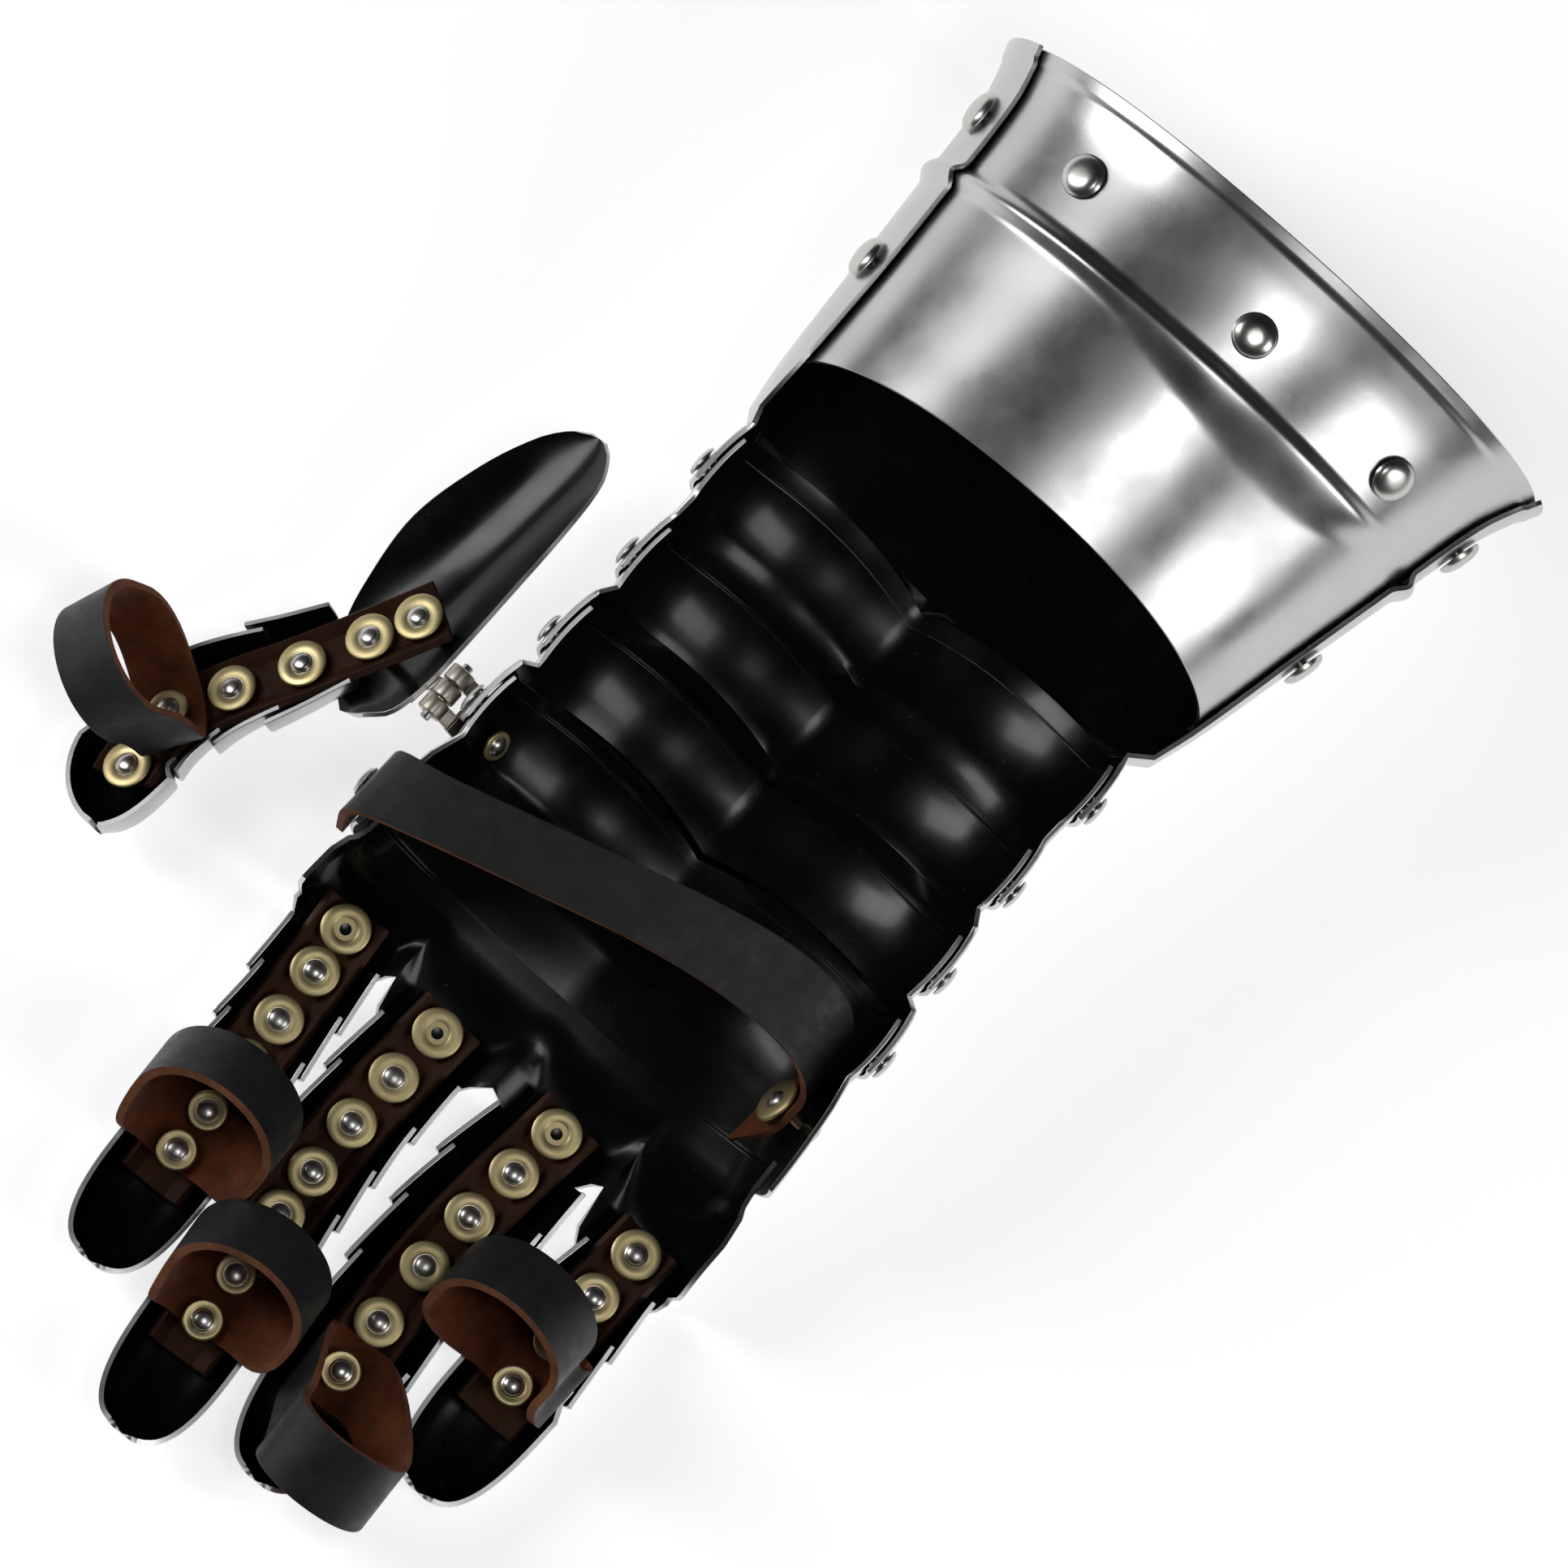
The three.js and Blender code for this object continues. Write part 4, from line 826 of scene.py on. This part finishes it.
def strip(finger, start, end):
    count = max(12, int((start - end) / 3))
    rows = [strip_row(finger, y) for y in spread(start, end, count)]
    return sheet(rows, LEATHER, mats=(0, 0, 1))


LOOP_RISE = 1.25  # exponent: how slowly a loop leaves its rivet
LOOP_FOOT, LOOP_BELLY, LOOP_BULGE = 0.5, 0.65, 0.6  # its width, as shares, and how it grows
LEAN_FROM, LEAN_FULL, SHIFT_FULL = 0.08, 0.6, 0.5  # shares of its height


def loop(finger, y):
    """A band bent into a ring that stands on the strip, leaning and turned."""
    q = finger["loop"]
    centre, side = on_line(finger, y)
    across = Matrix.Rotation(math.radians(q["turn"]), 3, "Z") @ side
    along = vec(-across.y, across.x, 0)
    rows = []
    for t in spread(0, 2 * math.pi, 65)[:-1]:
        rise = ((1 - math.cos(t)) / 2) ** LOOP_RISE
        wide = q["half"] * math.sin(t) * (LOOP_FOOT + LOOP_BELLY * rise ** LOOP_BULGE)
        tilt = math.radians(q["lean"]) * smooth(rise, LEAN_FROM, LEAN_FULL)
        up = vec(0, 0, math.cos(tilt)) + along * math.sin(tilt)
        over = along * math.cos(tilt) - vec(0, 0, math.sin(tilt))
        shift = smooth(rise, LEAN_FROM, SHIFT_FULL)
        middle = centre + vec(q["dx"] * shift, q["dy"] * shift, strip_top(finger) + LOOP_SEAT)
        middle += across * wide + up * (rise * q["height"])
        rows.append([middle - over * (s * q["band"] / 2) for s in spread(-1, 1, 7)])
    return sheet(rows[::-1], LEATHER, closed=True)


def fingers():
    for finger in FINGERS:
        name, rivets = finger["name"], finger["rivets"]
        on_loop = rivets[-finger["loop"]["last"]:]
        for k in range(1, len(rivets) - 1):
            extra = ON_LOOP if rivets[k] in on_loop else 0
            piece(f"{name}_lame_{k}", lame(finger, k, extra), PLATE)
        cap = tip(finger, (rivets[-1] + rivets[-2]) / 2 + LAP / 2)
        piece(f"{name}_tip", [cap, strip_rivet(finger, rivets[-1], STEEL, ON_LOOP)], PLATE)
        leather = strip(finger, rivets[0] + STRIP_BEFORE, rivets[-1] - STRIP_AFTER)
        piece(f"{name}_strip", [leather], [BROWN, RAW_DARK])
        band = loop(finger, (on_loop[0] + on_loop[-1]) / 2)
        piece(f"{name}_loop", [band], [DARK, SUEDE, RAW])


# ---- knuckle plate ---------------------------------------------------------------------

BOSS = spread(-1, 1, 19)  # from one side of a boss to the other
BOSS_HALF, BOSS_DEEP = 17, 10
BOSS_SPAN, BOSS_ARCH = 1.12, 2.2
VALLEY_BACK = 7  # how far the plate's edge steps back between two bosses
LINE_START = -107  # the fingers' lines are followed from here
SIDE_FREE = 1.4  # from the outermost point to the side wall
NESTED_FREE = 0.8  # how much narrower the plate is under the hand plate
NESTED = 2.8  # its inset there
NESTED_TO, NARROW_TO = 0.2, 0.6  # shares of its length
SPREAD_INSET = 0.4  # its inset at NARROW_TO


def knuckle_row(step, inset):
    """Points across the plate at step, its share of the way to the fingers."""
    points = []
    for k, f in [(k, f) for k in range(4) for f in BOSS if not (f == -1 and k > 0)]:
        finger = FINGERS[k]
        # A boss ends in a valley, half way to the next finger.
        following = FINGERS[k + 1] if f == 1 and k < 3 else finger
        valley = max(finger["edge"], following["edge"]) + VALLEY_BACK
        edge = lerp(finger["edge"], valley, smooth(abs(f), 0.6, 1))
        y = lerp(KNUCKLE_START, edge, step)
        here = at(finger["line"], min(y, LINE_START))["x"]
        there = at(following["line"], min(y, LINE_START))["x"]
        s = at(HAND, y)
        wide = s["a"] - inset - SIDE_FREE
        free = (here + there) / 2 if following is not finger else here + f * BOSS_HALF
        x = clamp(free, KNUCKLE_MIDDLE - wide, KNUCKLE_MIDDLE + wide)
        arch = s["rim"] - EAR - s["bottom"] - inset
        plain = s["rim"] - EAR - depth_at(x - KNUCKLE_MIDDLE, s["a"] - inset, arch, s["n"])
        boss = inset * 0.2 + BOSS_DEEP - depth_at(f, BOSS_SPAN, BOSS_DEEP, BOSS_ARCH)
        points.append(vec(x, y, lerp(plain, boss, smooth(step, 0.2, 0.75))))

    def wall(side, near):
        s = at(HAND, near.y)
        out = abs(near.x - KNUCKLE_MIDDLE)
        reach = s["a"] - inset - (NESTED_FREE if inset > INSET else 0)
        foot = vec(KNUCKLE_MIDDLE + side * (reach + out) / 2, near.y, near.z + 6)
        high = max(s["rim"] - inset, foot.z + 4)
        x = KNUCKLE_MIDDLE + side * reach
        return [vec(x, near.y, lerp(high, foot.z, f)) for f in (0, 0.3, 0.6)] + [foot]

    return wall(-1, points[0]) + points + wall(1, points[-1])[::-1]


def knuckle_inset(step):
    if step <= NESTED_TO:
        return NESTED
    if step <= NARROW_TO:
        return lerp(NESTED, SPREAD_INSET, (step - NESTED_TO) / (NARROW_TO - NESTED_TO))
    return 1 - step


def knuckle():
    rows = [knuckle_row(step, knuckle_inset(step)) for step in spread(0, 1, 16)]
    rivets = [strip_rivet(finger, finger["rivets"][0], STEEL, hollow=finger["name"] != "little")
              for finger in FINGERS]
    piece("knuckle_plate", [sheet(rows, STEEL)] + rivets, PLATE)


# ---- strap -------------------------------------------------------------------------------

def strap():
    rows = []
    last = len(STRAP) - 1
    for u in spread(0, last, 79):
        k = min(int(u), last - 1)
        t = u - k
        near = [STRAP[clamp(k + d, 0, last)] for d in (-1, 0, 1, 2)]
        v = {}
        for key in STRAP[0]:
            a, b, c, d = (q[key] for q in near)
            v[key] = 0.5 * (2 * b + (c - a) * t + (2 * a - 5 * b + 4 * c - d) * t * t
                            + (3 * b - a - 3 * c + d) * t ** 3)
        across = vec(v["wx"], v["wy"], v["wz"]).normalized()
        middle = vec(v["x"], v["y"], v["z"])
        rows.append([middle + across * (s * STRAP_WIDE) for s in spread(-0.5, 0.5, 9)])
    piece("palm_strap", [sheet(rows, LEATHER)], [SUEDE, DARK, RAW])


THROUGH_TAIL = [(0, -1), (1.6, -0.9), (2.4, -0.3), (2.6, 0)]
THROUGH_HEAD = [(4.1, 0), (4.2, 0.2), (3.4, 1.2), (1.6, 1.65), (0, 1.7)]


def through_rivet(inside, outside, washer, point, out, mats):
    """A rivet from a washer inside to a dome outside, both measured from point."""
    brass, dome = mats
    back = -inside - WASHER_THICK
    rows = profile(THROUGH_TAIL, back, dome)
    rows += profile([(washer - 0.3, back), (washer, back + 0.3), (washer, -inside),
                     (SHAFT, -inside), (SHAFT, outside)], 0, brass)
    return turned(rows + profile(THROUGH_HEAD, outside, dome), point, out)


def strap_rivets():
    for r in STRAP_RIVETS:
        point, out = hand_wall(r["side"], r["y"], r["z"])
        made = through_rivet(r["inside"] + TOUCH, r["outside"] + TOUCH, r["washer"], point, out,
                             (0, 1))
        piece(r["name"], [made], [BRASS, RIVET], bevel=0)


# ---- thumb and its hinge -----------------------------------------------------------------

KNUCKLES = [("hand", 0, 0.33), ("thumb", 0.33, 0.67), ("hand", 0.67, 1)]
BARREL_EDGE = 0.3
BRIDGE = [(2.4, -0.4), (5.2, -2.0)]  # its two ends, from the hinge's axis in x and z
TAB_FREE = 0.2  # from a knuckle's end to the leaf's tab on it
LEAF_HEIGHTS = (36, 33, 30, 27.5, 25)
LEAF_LIFT = STEEL + 1.1  # over the hand plate
LEAF_RIVET = dict(z=29, inside=STEEL + 1.9, outside=LEAF_LIFT - 0.6, washer=4)
LEAF_DROP = STEEL + 0.5  # under the thumb's base plate
LEAF_SHARES, TAB_SHARES = spread(0.34, 0.06, 8), spread(0.07, -0.05, 4)
BASE_STATIONS = ([15, 14.6, 14, 13, 11.5, 9.5, 7] + spread(4, -66, 24)
                 + [-68, -70, -71.6, -72.8, -73.5])
BASE_FOOT = -0.6  # where the base plate's second rivet stands on it


def hinge_y(share):
    return HINGE["y"] - HINGE_LENGTH / 2 + share * HINGE_LENGTH


def barrels(part, x, z):
    """The hinge knuckles of a leaf, each a tube round the pin."""
    made = []
    r, hole, e = HINGE_BARREL, HINGE_PIN + TOUCH, BARREL_EDGE
    for on, low, high in KNUCKLES:
        if on != part:
            continue
        y0 = hinge_y(low) + (TOUCH / 2 if low > 0 else 0)
        y1 = hinge_y(high) - (TOUCH / 2 if high < 1 else 0)
        rows = [(hole, y0), (r - e, y0), (r, y0 + e), (r, y1 - e), (r - e, y1), (hole, y1),
                (hole, y0)]
        made.append(turned(profile(rows, 0, 0), vec(x, 0, z), vec(0, 1, 0)))
    return made


def bridge_tabs():
    """The two tabs from the hand's leaf to its outer knuckles."""
    made = []
    for on, low, high in KNUCKLES:
        if on == "hand":
            ends = (hinge_y(low) + TAB_FREE, hinge_y(high) - TAB_FREE)
            rows = [[vec(HINGE["x"] + x, y, HINGE["z"] + z) for y in ends] for x, z in BRIDGE]
            made.append(sheet(rows, STEEL, mats=(0, 0, 0)))
    return made


def leaf_hand():
    stations = spread(hinge_y(0), hinge_y(1), 5)
    x, z = BRIDGE[1]
    rows = [[vec(HINGE["x"] + x, y, HINGE["z"] + z) for y in stations]]
    for z in LEAF_HEIGHTS:
        spots = [under_wall(y, z) for y in stations]
        rows.append([point + out * LEAF_LIFT for point, out in spots])
    r = LEAF_RIVET
    rivet = through_rivet(r["inside"], r["outside"], r["washer"], *under_wall(HINGE["y"], r["z"]),
                          (1, 2))
    leaf = [sheet(rows, STEEL, mats=(0, 0, 0)), rivet]
    leaf += barrels("hand", HINGE["x"], HINGE["z"]) + bridge_tabs()
    piece("hinge_leaf_hand", leaf, [HINGE_STEEL, BRASS, RIVET])


def hinge_pin():
    low, high, edge = hinge_y(0) - PIN_PAST, hinge_y(1) + PIN_PAST, BEVEL
    rows = [(0, low), (HINGE_PIN - edge, low), (HINGE_PIN, low + edge), (HINGE_PIN, high - edge),
            (HINGE_PIN - edge, high), (0, high)]
    pin = turned(profile(rows, 0, 0), vec(HINGE["x"], 0, HINGE["z"]), vec(0, 1, 0), sides=32)
    piece("hinge_pin", [pin], [RIVET], bevel=0)


def leaf_point(y, share, lower=0):
    """A point of the thumb's base plate, from its near edge to its far one."""
    s = at(THUMB_LEAF, y)
    sag = s["sag"] * 4 * share * (1 - share)
    return vec(lerp(s["near"], s["far"], share), y, s["drop"] * share - sag - lower)


def leaf_thumb():
    leaf = [[leaf_point(y, share, LEAF_DROP) for share in LEAF_SHARES]
            for y in spread(hinge_y(1), hinge_y(0), 5)]
    _, low, high = KNUCKLES[1]
    tab = [[leaf_point(y, share, LEAF_DROP) for share in TAB_SHARES]
           for y in (hinge_y(high) - TAB_FREE, hinge_y(low) + TAB_FREE)]
    sheets = [sheet(rows, STEEL, mats=(0, 0, 0)) for rows in (leaf, tab)]
    piece("hinge_leaf_thumb", sheets + barrels("thumb", 0, 0), [HINGE_STEEL], THUMB_FRAME)


def thumb():
    rows = [[leaf_point(y, share) for share in spread(1, 0, 25)] for y in BASE_STATIONS]
    first, second = THUMB["plate_rivets"]
    base = [sheet(rows, STEEL), strip_rivet(THUMB, first, STEEL),
            strip_rivet(THUMB, second, BASE_FOOT)]
    piece("thumb_base_plate", base, PLATE, THUMB_FRAME)
    leaf_thumb()
    loop_rivet, last = THUMB["rivets"][3:]
    for k in (1, 2, 3):
        piece(f"thumb_lame_{k}", lame(THUMB, k, ON_LOOP if k == 3 else 0), PLATE, THUMB_FRAME)
    cap = tip(THUMB, (loop_rivet + last) / 2 + LAP / 2, THUMB_POINT)
    piece("thumb_tip", [cap, strip_rivet(THUMB, last, STEEL)], PLATE, THUMB_FRAME)
    leather = strip(THUMB, THUMB_STRIP_START, THUMB_STRIP_END)
    piece("thumb_strip", [leather], [BROWN, RAW_DARK], THUMB_FRAME)
    piece("thumb_loop", [loop(THUMB, loop_rivet)], [DARK, SUEDE, RAW], THUMB_FRAME)


cuff_back()
cuff_palm()
cuff_rivets()
wrist_lame(0)
wrist_lame(1)
cut_notch(wrist_lame(2))
metacarpal()
knuckle()
fingers()
strap()
strap_rivets()
leaf_hand()
hinge_pin()
thumb()

# ---- stage, light and camera ---------------------------------------------------------------

FLOOR_SIZE, FLOOR_DEPTH = 6, 0.0002  # in metres, as the lamps' places and sizes
FLOOR_GLOW = 0.62
bpy.ops.mesh.primitive_plane_add(size=FLOOR_SIZE, location=(0, 0, -FLOOR_DEPTH))
floor = bpy.context.object
floor.name = "floor"
floor_look, _, floor_shader = material("pale floor", (0.93, 0.93, 0.93), 0.6, spec=0.2)
floor_shader.inputs["Emission Color"].default_value = (1, 1, 1, 1)
floor_shader.inputs["Emission Strength"].default_value = FLOOR_GLOW
floor.data.materials.append(floor_look)

# The world is bright near the horizon and dark overhead, for the steel to reflect.
world = bpy.context.scene.world or bpy.data.worlds.new("studio")
bpy.context.scene.world = world
world.use_nodes = True
sky = world.node_tree
coords = sky.nodes.new("ShaderNodeTexCoord")
axes = sky.nodes.new("ShaderNodeSeparateXYZ")
sky.links.new(coords.outputs["Generated"], axes.inputs["Vector"])
graded = ranged(sky, axes.outputs["Z"], 0.55, 0.2, from_low=0.3, from_high=0.9)
sky.links.new(graded, sky.nodes["Background"].inputs["Strength"])

TILT = 0.14  # how far the camera leans towards the fingertips
OUT = vec(0, -TILT, 1).normalized()
ACROSS_PHOTO = vec(0.743, 0.669, 0)
RIGHT = (ACROSS_PHOTO - OUT * ACROSS_PHOTO.dot(OUT)).normalized()
UP = OUT.cross(RIGHT)
TARGET = (vec(4.6, -17.1, 30) + SHIFT) * MM


def lamp(name, place, size, size_y, power):
    """A soft box at (right, up, towards the camera) from the target, aimed at it."""
    data = bpy.data.lights.new(name, "AREA")
    data.shape = "RECTANGLE"
    data.size, data.size_y = size, size_y
    data.energy = power
    obj = bpy.data.objects.new(name, data)
    bpy.context.scene.collection.objects.link(obj)
    spot = TARGET + RIGHT * place[0] + UP * place[1] + OUT * place[2]
    obj.location = spot
    obj.rotation_euler = (TARGET - spot).to_track_quat("-Z", "Y").to_euler()


lamp("key", (-1.1, 0.7, 0.9), size=0.5, size_y=1.0, power=9.5)
lamp("fill", (1.1, -0.75, 0.9), size=0.5, size_y=1.0, power=6.2)
lamp("top", (0.25, -0.1, 1.6), size=0.35, size_y=0.35, power=2.6)

LENS, SENSOR = 600, 36  # in millimetres
FRAME_WIDTH = 0.375
camera_data = bpy.data.cameras.new("camera")
camera_data.lens = LENS
camera_data.sensor_width = SENSOR
camera_data.clip_start = 0.05
camera = bpy.data.objects.new("camera", camera_data)
bpy.context.scene.collection.objects.link(camera)
turn = Matrix((RIGHT, UP, OUT)).transposed().to_4x4()
camera.matrix_world = Matrix.Translation(TARGET + OUT * (FRAME_WIDTH * LENS / SENSOR)) @ turn
bpy.context.scene.camera = camera
bpy.context.scene.view_settings.view_transform = "Standard"
